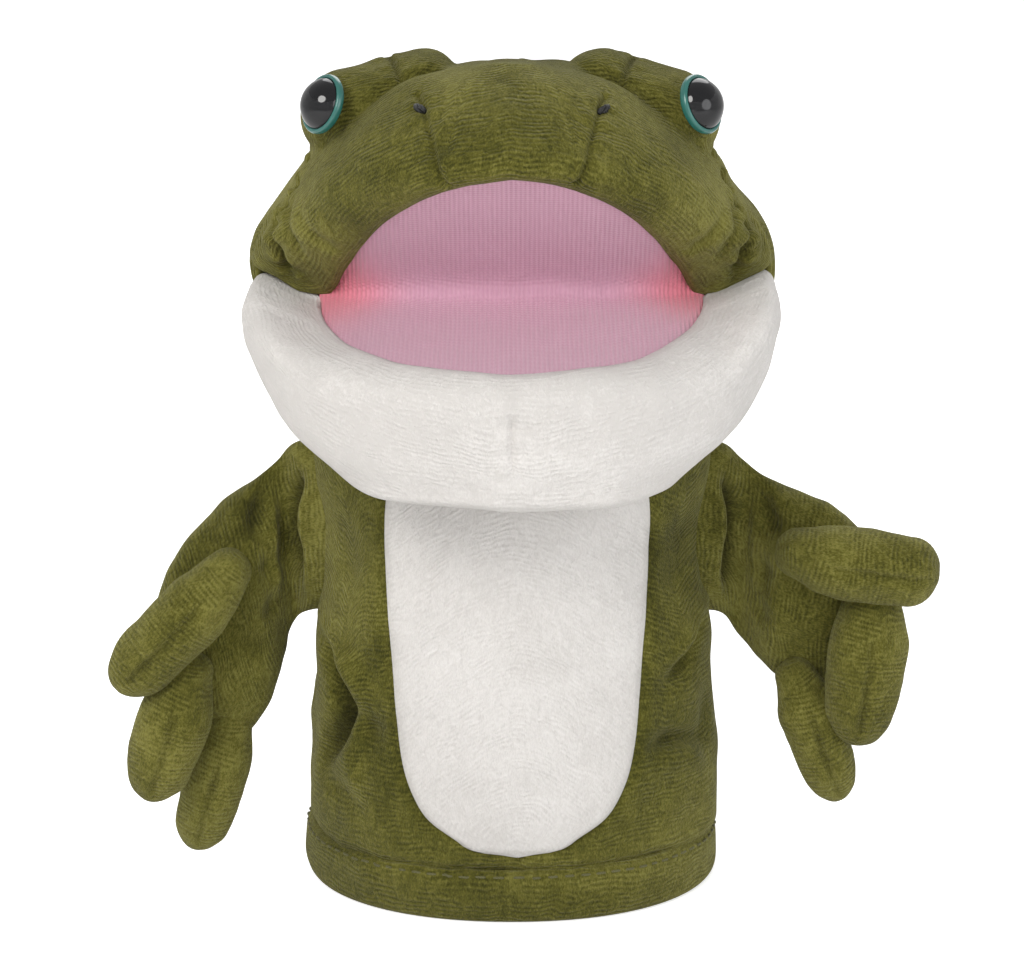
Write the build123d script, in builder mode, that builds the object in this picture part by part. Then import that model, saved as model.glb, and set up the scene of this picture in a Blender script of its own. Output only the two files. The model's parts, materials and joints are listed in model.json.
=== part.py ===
"""Plush frog hand puppet: a fabric sleeve, a padded head with a moving jaw, and two stuffed arms.

Frame: millimetres, +Z up, the puppet faces -Y, and its own left hand is on +X. The origin is the centre of
the hand opening, level with the bottom edge of the hem. "Reach" below means distance forward of that centre.
"""

import os
from math import cos, radians, sin

from build123d import *

# ------------------------------------------------------------------ driving dimensions, mm
PLUSH = 2.5  # plush fabric with its pile
LINING = 1.5  # knitted mouth lining
BOARD = 2.0  # stiffener behind each half of the mouth
GAP = 0.3  # slack between a skin and what it is filled with

HEM_HEIGHT = 16.0
HEM_THICKNESS = 4.0
SLEEVE_TOP = 134.0
# (height, half width, reach to the front, reach to the back)
SLEEVE_STATIONS = [
    (HEM_HEIGHT, 59.0, 46.0, 46.0),
    (62.0, 56.5, 43.5, 43.5),
    (90.0, 54.8, 40.5, 40.5),
    (112.0, 56.5, 38.0, 37.5),
    (124.0, 56.5, 35.5, 35.0),
    (SLEEVE_TOP, 54.0, 32.0, 31.5),
]
HEAD_STATIONS = [
    (138.0, 58.0, 30.0, 41.0),
    (150.0, 65.0, 40.0, 47.0),
    (165.0, 70.5, 50.0, 51.0),
    (180.0, 73.5, 56.0, 51.0),
    (194.0, 69.0, 61.0, 48.5),
    (207.0, 60.0, 62.0, 42.0),
    (219.0, 50.0, 57.0, 32.0),
    (229.0, 38.0, 49.0, 18.0),
    (237.0, 20.0, 38.0, -5.0),
]
JAW_STATIONS = [
    (124.0, 24.0, 66.0, -42.0),
    (129.0, 38.0, 71.0, -28.0),
    (138.0, 50.5, 76.0, -10.0),
    (150.0, 61.0, 79.0, 2.0),
    (162.0, 67.5, 80.0, 8.0),
    (175.0, 70.5, 79.0, 8.0),
]

NECK_LINING = (44.0, 26.0, 137.0, 143.0)  # half width, reach, bottom, top
NECK_CLEARANCE = (60.0, 44.0, 145.0)  # half width, reach and height kept clear of the jaw

HINGE_REACH, HINGE_HEIGHT = 12.0, 173.0  # the fold between palate and tongue
UPPER_GAPE, LOWER_GAPE = 41.5, 7.0  # degrees above and below level, with the mouth open
MOUTH_HALF_WIDTH = 53.0
UPPER_MOUTH_DEPTH, LOWER_MOUTH_DEPTH = 61.0, 60.0
BOARD_MARGIN = 3.0

FINGER_POCKET = (72.0, 20.0, 43.0)  # width, height, depth
THUMB_POCKET = (32.0, 17.0, 30.0)
POCKET_WALL = 1.0
THUMB_POCKET_REACH = 31.0  # where the thumb pocket's mouth is
PALM_SPACE = (42.0, 20.0, -14.0, 190.0)  # half width, half depth, reach of its centre, top
FILLING_BOTTOM = 150.0

MOUND_CENTRE = (36.0, 14.0, 221.5)  # half spacing, reach, height
MOUND_RADII = (19.5, 17.0, 20.0)
EYE_AIM = (0.76, 0.55, 0.36)  # outward, forward, up
EYE_RADIUS, EYE_HEIGHT = 6.8, 5.2
RIM_RADIUS, RIM_THICKNESS = 8.0, 1.2
POST_RADIUS, POST_LENGTH = 1.5, 10.0
WASHER_RADIUS, WASHER_THICKNESS, WASHER_DEPTH = 6.0, 1.2, 5.4
NOSTRIL = (24.0, 41.0, 229.5)  # half spacing, reach, height
NOSTRIL_LENGTH, NOSTRIL_RADIUS = 3.0, 0.8

BELLY_HALF_WIDTH, BELLY_BOTTOM, BELLY_STRAIGHT = 33.0, 21.5, 44.0
BELLY_TOP_HALF_WIDTH, BELLY_CENTRE = 36.0, 1.5

ARM_PLUSH = 1.6
ARM_SLACK = 0.15  # between each arm panel and the middle of the arm
HAND_SKIN = 2.0
HAND_HALF_THICKNESS, HAND_BEVEL, HAND_CORNER = 8.0, 35.0, 5.0
# Outlines of the limbs as (outward, height)
ARMS = {
    "left": [(59.5, 129.0), (59.5, 77.0), (63.5, 81.0), (66.0, 105.0)],
    "right": [(59.5, 129.0), (59.5, 77.0), (61.5, 81.0), (66.5, 105.0)],
}
HANDS = {
    "left": [(70, 104), (80, 112), (91, 107), (99, 98), (102, 86)]
    + [(98, 71), (90, 61), (80, 57), (73, 64), (69, 80)],
    "right": [(71, 104), (83, 110), (94, 96), (98, 80), (95, 64)]
    + [(86, 46), (78, 41), (71, 48), (67, 61), (67, 80)],
}
# finger number: root (outward, reach, height), tip (outward, reach, height), half width
FINGERS = {
    "left": [
        ((87.0, 16.5, 99.0), (119.0, 20.0, 95.0), 9.5),
        ((102.0, 13.5, 78.0), (99.0, 19.0, 45.0), 9.5),
        ((84.5, 9.5, 54.0), (94.0, 11.0, 25.0), 8.0),
    ],
    "right": [
        ((84.5, 17.0, 90.0), (111.5, 21.0, 63.0), 9.0),
        ((94.5, 14.0, 57.0), (104.5, 19.0, 28.0), 8.5),
        ((84.0, 4.0, 37.5), (92.0, 5.0, 9.0), 8.0),
    ],
}
SIDES = {"left": 1, "right": -1}
FAR = 150.0  # beyond every surface

os.makedirs("parts", exist_ok=True)


def finish(part, name):
    """Labels one finished piece and writes it to its own file."""
    part.label = name
    export_step(part, f"parts/{name}.step")


# ------------------------------------------------------------------ shared forms and cutters
def level_form(stations, inset=0.0, cap=False):
    """Closed form lofted through level ellipses, every radius less inset, and its top too if cap is set."""
    with BuildPart() as form:
        for height, half_width, front, back in stations:
            top = cap and height == stations[-1][0]
            with BuildSketch(Plane.XY.offset(height - (inset if top else 0))):
                with Locations((0, (back - front) / 2)):
                    Ellipse(half_width - inset, (front + back) / 2 - inset)
        loft()
    return form.part


def side_block(outline):
    """Everything inside an outline of (reach, height) points, right across the puppet."""
    with BuildPart() as block:
        with BuildSketch(Plane.YZ):
            with BuildLine():
                Polyline(*[(-reach, height) for reach, height in outline], close=True)
            make_face()
        extrude(amount=FAR, both=True)
    return block.part


def upright_tube(half_width, half_depth, bottom, top, reach=0.0):
    """Solid upright elliptical column."""
    with BuildPart() as column:
        with BuildSketch(Plane.XY.offset(bottom)):
            with Locations((0, -reach)):
                Ellipse(half_width, half_depth)
        extrude(amount=top - bottom)
    return column.part


def head_region(lift=0.0, bottom=137.0):
    """What lies above the mouth's upper plane, raised by lift, and behind the jaw."""
    slope = radians(UPPER_GAPE)
    start = (HINGE_REACH - lift * sin(slope), HINGE_HEIGHT + lift * cos(slope))
    end = (start[0] + FAR * cos(slope), start[1] + FAR * sin(slope))
    back = [(-FAR, end[1]), (-FAR, bottom), (-8, bottom), (-1.5, HINGE_HEIGHT - 5), (-1.5, HINGE_HEIGHT - 0.1)]
    return side_block([start, end, *back])


def jaw_region(lower=0.0):
    """What lies below the mouth's lower plane, lowered by lower, and in front of the head's back."""
    slope = radians(LOWER_GAPE)
    start = (HINGE_REACH - lower * sin(slope), HINGE_HEIGHT - lower * cos(slope))
    end = (start[0] + FAR * cos(slope), start[1] - FAR * sin(slope))
    return side_block([start, end, (end[0], 100), (3, 100), (3, HINGE_HEIGHT - 2.5 - lower)])


def mouth_plane(upper):
    """Plane of one half of the mouth, facing the opening, with its y axis pointing at the lip."""
    origin = (0, -HINGE_REACH, HINGE_HEIGHT)
    if upper:
        slope = radians(UPPER_GAPE)
        return Plane(origin=origin, x_dir=(1, 0, 0), z_dir=(0, -sin(slope), -cos(slope)))
    slope = radians(LOWER_GAPE)
    return Plane(origin=origin, x_dir=(-1, 0, 0), z_dir=(0, -sin(slope), cos(slope)))


def mouth_plate(upper, margin, start, thickness):
    """Half-ellipse plate lying behind one mouth plane, from start to start + thickness."""
    depth = UPPER_MOUTH_DEPTH if upper else LOWER_MOUTH_DEPTH
    with BuildPart() as plate:
        with BuildSketch(mouth_plane(upper).offset(-start)):
            Ellipse(MOUTH_HALF_WIDTH - margin, depth - margin)
            with Locations((0, 1.0 + margin)):
                Rectangle(3 * FAR, 2 * FAR, align=(Align.CENTER, Align.MAX), mode=Mode.SUBTRACT)
        extrude(amount=-thickness)
    return plate.part


def pocket_plane(upper, along):
    """Plane across a pocket, square to the mouth, at a distance along it from the hinge."""
    mouth = mouth_plane(upper)
    height = FINGER_POCKET[1] if upper else THUMB_POCKET[1]
    centre = mouth.origin + mouth.y_dir * along - mouth.z_dir * (LINING + BOARD + 1.5 + height / 2)
    return Plane(origin=centre, x_dir=(1, 0, 0), z_dir=mouth.y_dir)


def pocket_core(upper, along, depth, grow):
    """Solid slot the size of a pocket, larger all round by grow."""
    width, height, _ = FINGER_POCKET if upper else THUMB_POCKET
    with BuildPart() as core:
        with BuildSketch(pocket_plane(upper, along)):
            SlotOverall(width + 2 * grow, height + 2 * grow)
        extrude(amount=depth)
    return core.part


# ------------------------------------------------------------------ sleeve
sleeve_outer = level_form(SLEEVE_STATIONS)
sleeve_inner = level_form(SLEEVE_STATIONS, inset=PLUSH)


def belly_outline(plane):
    """Sketch of the belly patch: straight sides and a half-elliptical bottom."""
    with BuildSketch(plane) as outline:
        with BuildLine():
            left, right = BELLY_CENTRE - BELLY_HALF_WIDTH, BELLY_CENTRE + BELLY_HALF_WIDTH
            top_left, top_right = BELLY_CENTRE - BELLY_TOP_HALF_WIDTH, BELLY_CENTRE + BELLY_TOP_HALF_WIDTH
            EllipticalCenterArc(
                (BELLY_CENTRE, BELLY_STRAIGHT),
                BELLY_HALF_WIDTH,
                BELLY_STRAIGHT - BELLY_BOTTOM,
                start_angle=180,
                arc_size=180,
            )
            Polyline(
                (right, BELLY_STRAIGHT),
                (top_right, SLEEVE_TOP + 5),
                (top_left, SLEEVE_TOP + 5),
                (left, BELLY_STRAIGHT),
            )
        make_face()
    return outline.sketch


with BuildPart() as sleeve_back:
    add(sleeve_outer)
    add(sleeve_inner, mode=Mode.SUBTRACT)
    split(bisect_by=Plane.XZ, keep=Keep.BOTTOM)

with BuildPart() as sleeve_front:
    add(sleeve_outer)
    add(sleeve_inner, mode=Mode.SUBTRACT)
    split(bisect_by=Plane.XZ, keep=Keep.TOP)
    extrude(belly_outline(Plane.XZ), amount=FAR, mode=Mode.SUBTRACT)

with BuildPart() as belly_panel:
    add(sleeve_outer)
    add(sleeve_inner, mode=Mode.SUBTRACT)
    extrude(belly_outline(Plane.XZ), amount=FAR, mode=Mode.INTERSECT)

with BuildPart() as hem_band:
    with BuildSketch():
        Ellipse(SLEEVE_STATIONS[0][1] + 0.8, SLEEVE_STATIONS[0][2] + 0.8)
        Ellipse(
            SLEEVE_STATIONS[0][1] + 0.8 - HEM_THICKNESS,
            SLEEVE_STATIONS[0][2] + 0.8 - HEM_THICKNESS,
            mode=Mode.SUBTRACT,
        )
    extrude(amount=HEM_HEIGHT)

STITCHES, STITCH_LENGTH, THREAD_RADIUS = 64, 3.2, 0.45
with BuildPart() as hem_stitching:
    for number in range(STITCHES):
        turn = radians(360 * number / STITCHES)
        reach_x, reach_y = SLEEVE_STATIONS[0][1] + 1.4, SLEEVE_STATIONS[0][2] + 1.4
        spot = Vector(reach_x * cos(turn), reach_y * sin(turn), HEM_HEIGHT - 1.4)
        along = Vector(-reach_x * sin(turn), reach_y * cos(turn), 0).normalized()
        with BuildSketch(Plane(origin=spot - along * STITCH_LENGTH / 2, z_dir=along)):
            Circle(THREAD_RADIUS)
        extrude(amount=STITCH_LENGTH)

finish(sleeve_back.part, "sleeve_back")
finish(sleeve_front.part, "sleeve_front")
finish(belly_panel.part, "belly_panel")
finish(hem_band.part, "hem_band")
finish(hem_stitching.part, "hem_stitching")

# ------------------------------------------------------------------ neck
with BuildPart() as neck_lining:
    half_width, reach, bottom, top = NECK_LINING
    with BuildSketch(Plane.XY.offset(bottom)):
        Ellipse(half_width, reach)
        Ellipse(half_width - POCKET_WALL, reach - POCKET_WALL, mode=Mode.SUBTRACT)
    extrude(amount=top - bottom)
finish(neck_lining.part, "neck_lining")


# ------------------------------------------------------------------ upper head: skin panels
def mound_solid(side, inset=0.0):
    """Ellipsoid that an eye sits on."""
    with BuildPart() as mound:
        Sphere(1.0)
        scale(by=tuple(radius - inset for radius in MOUND_RADII))
    outward, reach, height = MOUND_CENTRE
    return Pos(side * outward, -reach, height) * mound.part


def nostril_solid(side, grow=0.0):
    """Short fat stitch."""
    outward, reach, height = NOSTRIL
    axis = Vector(-side * 0.5, -0.3, -0.8).normalized()
    start = Vector(side * outward, -reach, height) - axis * NOSTRIL_LENGTH / 2
    with BuildPart() as stitch:
        with BuildSketch(Plane(origin=start, z_dir=axis)):
            Circle(NOSTRIL_RADIUS + grow)
        extrude(amount=NOSTRIL_LENGTH)
    return stitch.part


def eye_plane(side):
    """Plane on a mound's surface where the eye sits, facing out of the eye."""
    outward, forward, up = EYE_AIM
    aim = Vector(side * outward, -forward, up).normalized()
    distance = sum((part / radius) ** 2 for part, radius in zip(aim, MOUND_RADII)) ** -0.5
    centre = Vector(side * MOUND_CENTRE[0], -MOUND_CENTRE[1], MOUND_CENTRE[2])
    return Plane(origin=centre + aim * distance, z_dir=aim)


def eye_well(side):
    """Hole that an eye's post and washer lie in."""
    with BuildPart() as well:
        with BuildSketch(eye_plane(side).offset(-WASHER_DEPTH)):
            Circle(WASHER_RADIUS + GAP)
        extrude(amount=WASHER_DEPTH - POST_LENGTH - GAP)
    return well.part


head_form = level_form(HEAD_STATIONS)

with BuildPart() as head_hollow:
    add(level_form(HEAD_STATIONS, inset=PLUSH, cap=True))
    add(head_region(lift=PLUSH, bottom=130.0), mode=Mode.INTERSECT)

with BuildPart() as head_skin:
    add(head_form)
    add(head_region(), mode=Mode.INTERSECT)
    add(head_hollow.part, mode=Mode.SUBTRACT)
    add(mouth_plate(True, 0.0, -1.0, PLUSH + 2.0), mode=Mode.SUBTRACT)
    add(upright_tube(66.0, 48.0, 130.0, 139.0), mode=Mode.SUBTRACT)
    for side in SIDES.values():
        add(nostril_solid(side, grow=0.05), mode=Mode.SUBTRACT)
        add(eye_well(side), mode=Mode.SUBTRACT)

FACE_SEAM_REACH = 9.0  # the seam from eye mound to mouth corner
BROW_HALF_WIDTH, LIP_HALF_WIDTH = 25.0, 17.0  # the forehead panel narrows towards the lip
face_front = side_block([(FACE_SEAM_REACH, 0), (FACE_SEAM_REACH, 300), (FAR, 300), (FAR, 0)])
with BuildPart() as forehead_strip:
    with BuildSketch(Plane.XZ):
        with BuildLine():
            Polyline(
                (-LIP_HALF_WIDTH, 205),
                (LIP_HALF_WIDTH, 205),
                (BROW_HALF_WIDTH, 232),
                (BROW_HALF_WIDTH, 260),
                (-BROW_HALF_WIDTH, 260),
                (-BROW_HALF_WIDTH, 232),
                close=True,
            )
        make_face()
    extrude(amount=FAR)

with BuildPart() as forehead_panel:
    add(head_skin.part)
    add(face_front, mode=Mode.INTERSECT)
    add(forehead_strip.part, mode=Mode.INTERSECT)
finish(forehead_panel.part, "forehead_panel")

for name, side in SIDES.items():
    keep_side = Keep.TOP if side > 0 else Keep.BOTTOM

    with BuildPart() as snout_panel:
        add(head_skin.part)
        add(face_front, mode=Mode.INTERSECT)
        add(forehead_strip.part, mode=Mode.SUBTRACT)
        split(bisect_by=Plane.YZ, keep=keep_side)
    finish(snout_panel.part, f"snout_panel_{name}")

    with BuildPart() as head_back:
        add(head_skin.part)
        add(face_front, mode=Mode.SUBTRACT)
        split(bisect_by=Plane.YZ, keep=keep_side)
    finish(head_back.part, f"head_back_{name}")

    with BuildPart() as nostril:
        add(nostril_solid(side))
    finish(nostril.part, f"nostril_stitch_{name}")


# ------------------------------------------------------------------ upper head: eyes on their mounds
for name, side in SIDES.items():
    seat = eye_plane(side)

    with BuildPart() as eye_mound:
        add(mound_solid(side))
        add(mound_solid(side, inset=PLUSH), mode=Mode.SUBTRACT)
        add(head_form, mode=Mode.SUBTRACT)
        with BuildSketch(seat.offset(-WASHER_DEPTH)):
            Circle(POST_RADIUS + GAP)
        extrude(amount=2 * WASHER_DEPTH, mode=Mode.SUBTRACT)
    finish(eye_mound.part, f"eye_mound_{name}")

    with BuildPart() as mound_filling:
        add(mound_solid(side, inset=PLUSH + GAP))
        add(head_form, mode=Mode.SUBTRACT)
        with BuildSketch(seat.offset(-POST_LENGTH - GAP)):
            Circle(WASHER_RADIUS + 2 * GAP)
        extrude(amount=2 * POST_LENGTH, mode=Mode.SUBTRACT)
    finish(mound_filling.part, f"mound_filling_{name}")

    with BuildPart() as eye_rim:
        with BuildSketch(seat.offset(GAP)):
            Circle(RIM_RADIUS)
            Circle(POST_RADIUS + 0.1, mode=Mode.SUBTRACT)
        extrude(amount=RIM_THICKNESS)
    finish(eye_rim.part, f"eye_rim_{name}")

    with BuildPart() as eye_dome:
        with BuildSketch(Plane.XZ):
            with BuildLine():
                Line((0, 0), (EYE_RADIUS, 0))
                Bezier(
                    (EYE_RADIUS, 0),
                    (EYE_RADIUS, EYE_HEIGHT),
                    (EYE_RADIUS * 0.55, EYE_HEIGHT),
                    (0, EYE_HEIGHT),
                )
                Line((0, EYE_HEIGHT), (0, 0))
            make_face()
        revolve(axis=Axis.Z)
        with BuildSketch():
            Circle(POST_RADIUS)
        extrude(amount=-POST_LENGTH)
    finish(seat.offset(GAP + RIM_THICKNESS).location * eye_dome.part, f"eye_dome_{name}")

    with BuildPart() as eye_washer:
        with BuildSketch(seat.offset(-WASHER_DEPTH)):
            Circle(WASHER_RADIUS)
            Circle(POST_RADIUS + 0.05, mode=Mode.SUBTRACT)
        extrude(amount=-WASHER_THICKNESS)
    finish(eye_washer.part, f"eye_washer_{name}")

# ------------------------------------------------------------------ upper head: inside
finish(mouth_plate(True, 0.1, 0.0, LINING), "palate_lining")
finish(mouth_plate(True, BOARD_MARGIN, LINING + 0.1, BOARD), "palate_board")

with BuildPart() as finger_pocket:
    add(pocket_core(True, 3.0, FINGER_POCKET[2], POCKET_WALL))
    add(pocket_core(True, 0.0, FINGER_POCKET[2] + 3.0 - POCKET_WALL, 0.0), mode=Mode.SUBTRACT)
finish(finger_pocket.part, "finger_pocket")

with BuildPart() as head_filling:
    add(level_form(HEAD_STATIONS, inset=PLUSH + GAP, cap=True))
    add(head_region(lift=PLUSH + BOARD + GAP, bottom=FILLING_BOTTOM), mode=Mode.INTERSECT)
    add(pocket_core(True, -30.0, FINGER_POCKET[2] + 33.0 + GAP, POCKET_WALL + GAP), mode=Mode.SUBTRACT)
    add(upright_tube(PALM_SPACE[0], PALM_SPACE[1], 130.0, PALM_SPACE[3], PALM_SPACE[2]), mode=Mode.SUBTRACT)
    for side in SIDES.values():
        add(nostril_solid(side, grow=GAP), mode=Mode.SUBTRACT)
        add(eye_well(side), mode=Mode.SUBTRACT)
finish(head_filling.part, "head_filling")

# ------------------------------------------------------------------ jaw
neck_space = upright_tube(NECK_CLEARANCE[0], NECK_CLEARANCE[1], 100.0, NECK_CLEARANCE[2])

with BuildPart() as jaw_hollow:
    add(level_form(JAW_STATIONS, inset=PLUSH))
    add(jaw_region(lower=PLUSH), mode=Mode.INTERSECT)
    with BuildSketch(Plane.XY.offset(JAW_STATIONS[0][0])):
        Rectangle(3 * FAR, 3 * FAR)
    extrude(amount=PLUSH, mode=Mode.SUBTRACT)

with BuildPart() as jaw_back_opening:
    with BuildSketch(Plane.XY.offset(100.0)):
        Rectangle(2 * (NECK_CLEARANCE[0] - 6.0), 2 * 6.0)
    extrude(amount=HINGE_HEIGHT - 100.0 - 6.0)

for name, side in SIDES.items():
    with BuildPart() as jaw_panel:
        add(level_form(JAW_STATIONS))
        add(jaw_region(), mode=Mode.INTERSECT)
        add(jaw_hollow.part, mode=Mode.SUBTRACT)
        add(mouth_plate(False, 0.0, -1.0, PLUSH + 2.0), mode=Mode.SUBTRACT)
        add(neck_space, mode=Mode.SUBTRACT)
        add(jaw_back_opening.part, mode=Mode.SUBTRACT)
        split(bisect_by=Plane.YZ, keep=Keep.TOP if side > 0 else Keep.BOTTOM)
    finish(jaw_panel.part, f"jaw_panel_{name}")

finish(mouth_plate(False, 0.1, 0.0, LINING), "tongue_lining")
finish(mouth_plate(False, BOARD_MARGIN, LINING + 0.1, BOARD), "tongue_board")

with BuildPart() as thumb_pocket:
    thumb_start = THUMB_POCKET_REACH - HINGE_REACH
    add(pocket_core(False, thumb_start, THUMB_POCKET[2], POCKET_WALL))
    add(pocket_core(False, thumb_start - 3.0, THUMB_POCKET[2] + 3.0 - POCKET_WALL, 0.0), mode=Mode.SUBTRACT)
finish(thumb_pocket.part, "thumb_pocket")

with BuildPart() as jaw_filling:
    add(level_form(JAW_STATIONS, inset=PLUSH + GAP))
    add(jaw_region(lower=PLUSH + BOARD + GAP), mode=Mode.INTERSECT)
    with BuildSketch(Plane.XY.offset(JAW_STATIONS[0][0])):
        Rectangle(3 * FAR, 3 * FAR)
    extrude(amount=PLUSH + GAP, mode=Mode.SUBTRACT)
    add(pocket_core(False, 0.0, thumb_start + THUMB_POCKET[2] + GAP, POCKET_WALL + GAP), mode=Mode.SUBTRACT)
    add(neck_space, mode=Mode.SUBTRACT)
    add(upright_tube(52.0, 33.0, 100.0, HINGE_HEIGHT), mode=Mode.SUBTRACT)
finish(jaw_filling.part, "jaw_filling")


# ------------------------------------------------------------------ arms, hands and fingers
def limb_outline(side, outline, corner=0.0, inset=0.0):
    """Sketch of a limb's outline in the puppet's side-to-side plane, with rounded corners."""
    with BuildSketch(Plane.XZ) as flat:
        with BuildLine():
            Polyline(*[(side * outward, height) for outward, height in outline], close=True)
        make_face()
        if corner:
            fillet(flat.vertices(), radius=corner)
        if inset:
            offset(amount=-inset, mode=Mode.REPLACE)
    return flat.sketch


def hand_half(side, outline, inset=0.0):
    """Front half of a stuffed hand, bevelled towards its seam; shells are the difference of two of these."""
    with BuildPart() as half:
        extrude(
            limb_outline(side, outline, HAND_CORNER, inset),
            amount=HAND_HALF_THICKNESS - inset,
            taper=HAND_BEVEL,
        )
    return half.part


def finger_form(root, tip, half_width, inset=0.0):
    """Rounded stuffed finger, turned about the line from its root to its tip."""
    aim = (tip - root).normalized()
    length = (tip - root).length - inset
    wide, narrow = half_width - inset, half_width * 0.6 - inset
    with BuildPart() as form:
        with BuildSketch(Plane.XZ):
            with BuildLine():
                outline = Spline(
                    (0, -narrow),
                    (narrow, 0),
                    (wide, length * 0.55),
                    (wide * 0.72, length * 0.88),
                    (0, length),
                    tangents=((1, 0), (-1, 0)),
                )
                Line(outline @ 1, outline @ 0)
            make_face()
        revolve(axis=Axis.Z)
    return Plane(origin=root, z_dir=aim).location * form.part


for name, side in SIDES.items():
    with BuildPart() as arm_front:
        extrude(limb_outline(side, ARMS[name]), amount=ARM_SLACK + ARM_PLUSH)
        extrude(limb_outline(side, ARMS[name]), amount=ARM_SLACK, mode=Mode.SUBTRACT)
    finish(arm_front.part, f"arm_front_{name}")

    with BuildPart() as arm_back:
        mirror(arm_front.part, about=Plane.XZ)
    finish(arm_back.part, f"arm_back_{name}")

    with BuildPart() as hand_front:
        add(hand_half(side, HANDS[name]))
        add(hand_half(side, HANDS[name], inset=HAND_SKIN), mode=Mode.SUBTRACT)
    finish(hand_front.part, f"hand_front_{name}")

    with BuildPart() as hand_back:
        mirror(hand_front.part, about=Plane.XZ)
    finish(hand_back.part, f"hand_back_{name}")

    with BuildPart() as hand_filling:
        add(hand_half(side, HANDS[name], inset=HAND_SKIN + GAP))
        mirror(about=Plane.XZ)
    finish(hand_filling.part, f"hand_filling_{name}")

    for number, (root, tip, half_width) in enumerate(FINGERS[name], start=1):
        root_spot = Vector(side * root[0], -root[1], root[2])
        tip_spot = Vector(side * tip[0], -tip[1], tip[2])
        root_plane = Plane(origin=root_spot, z_dir=(tip_spot - root_spot).normalized())
        open_end = root_plane.offset(-0.35 * half_width)

        with BuildPart() as finger_skin:
            add(finger_form(root_spot, tip_spot, half_width))
            add(finger_form(root_spot, tip_spot, half_width, inset=HAND_SKIN), mode=Mode.SUBTRACT)
            split(bisect_by=open_end, keep=Keep.TOP)
        finish(finger_skin.part, f"finger_{number}_{name}")

        with BuildPart() as finger_filling:
            add(finger_form(root_spot, tip_spot, half_width, inset=HAND_SKIN + GAP))
        finish(finger_filling.part, f"finger_filling_{number}_{name}")
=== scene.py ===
"""Plush frog hand puppet, dressed over its CAD frame.

Lengths are millimetres until a mesh is made; -Y is the front.
"""

import itertools
import json
import math

import bpy
import numpy as np
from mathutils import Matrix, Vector


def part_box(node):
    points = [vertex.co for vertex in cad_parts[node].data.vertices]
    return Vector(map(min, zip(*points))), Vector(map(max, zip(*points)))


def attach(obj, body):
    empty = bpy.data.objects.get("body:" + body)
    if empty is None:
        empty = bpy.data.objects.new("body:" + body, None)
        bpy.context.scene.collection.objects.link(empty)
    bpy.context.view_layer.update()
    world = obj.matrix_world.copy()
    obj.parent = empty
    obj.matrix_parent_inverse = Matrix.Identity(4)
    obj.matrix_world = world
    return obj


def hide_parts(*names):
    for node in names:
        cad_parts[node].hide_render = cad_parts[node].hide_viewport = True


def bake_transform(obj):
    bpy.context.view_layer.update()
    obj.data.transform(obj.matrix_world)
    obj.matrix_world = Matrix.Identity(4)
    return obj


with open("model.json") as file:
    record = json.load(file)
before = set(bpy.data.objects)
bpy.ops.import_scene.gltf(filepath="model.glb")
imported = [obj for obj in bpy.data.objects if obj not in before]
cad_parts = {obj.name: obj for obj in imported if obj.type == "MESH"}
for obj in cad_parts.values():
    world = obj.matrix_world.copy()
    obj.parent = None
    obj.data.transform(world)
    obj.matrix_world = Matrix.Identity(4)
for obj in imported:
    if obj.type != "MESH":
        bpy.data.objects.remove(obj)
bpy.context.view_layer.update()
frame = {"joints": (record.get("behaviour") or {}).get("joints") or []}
MM = 0.001
PLUSH_THICKNESS = 1.8
SIDES = {"left": 1.0, "right": -1.0}


# ------------------------------------------------------------------ places taken from the frame
def joint(name):
    return next(j for j in frame["joints"] if j["name"] == name)


def joint_place(name):
    return np.array(joint(name)["pos_m"]) / MM


def box_mm(node):
    low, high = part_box(node)
    return np.array(low) / MM, np.array(high) / MM


HINGE = joint_place("jaw_close")
PALATE_LOW, PALATE_HIGH = box_mm("palate_lining")
TONGUE_LOW = box_mm("tongue_lining")[0]
HEM_LOW, HEM_HIGH = box_mm("hem_band")
MOUTH_HALF_WIDTH = PALATE_HIGH[0]
UPPER_SLOPE = math.atan2(PALATE_HIGH[2] - HINGE[2], -PALATE_LOW[1] + HINGE[1])
UPPER_DEPTH = math.hypot(PALATE_HIGH[2] - HINGE[2], -PALATE_LOW[1] + HINGE[1]) - 0.6
LOWER_SLOPE = math.radians(7.0)
LOWER_DEPTH = -TONGUE_LOW[1] + HINGE[1] + 0.4


# ------------------------------------------------------------------ numeric helpers
def spline(places, values):
    """Natural cubic through the points, held level beyond its ends."""
    xs, ys = np.array(places, float), np.array(values, float)
    count, h = len(xs), np.diff(np.array(places, float))
    matrix, right = np.eye(count), np.zeros(count)
    for i in range(1, count - 1):
        matrix[i, i - 1 : i + 2] = h[i - 1], 2 * (h[i - 1] + h[i]), h[i]
        right[i] = 6 * ((ys[i + 1] - ys[i]) / h[i] - (ys[i] - ys[i - 1]) / h[i - 1])
    m = np.linalg.solve(matrix, right)

    def at(x):
        x = np.clip(x, xs[0], xs[-1])
        i = np.clip(np.searchsorted(xs, x) - 1, 0, count - 2)
        t, d = x - xs[i], h[i]
        linear = (ys[i + 1] - ys[i]) / d - d * (2 * m[i] + m[i + 1]) / 6
        return ys[i] + t * linear + t * t * m[i] / 2 + t**3 * (m[i + 1] - m[i]) / (6 * d)

    return at


def columns(stations):
    """Splines of every later column against the first."""
    rows = np.array(stations, float)
    return [spline(rows[:, 0], rows[:, k]) for k in range(1, rows.shape[1])]


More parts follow.
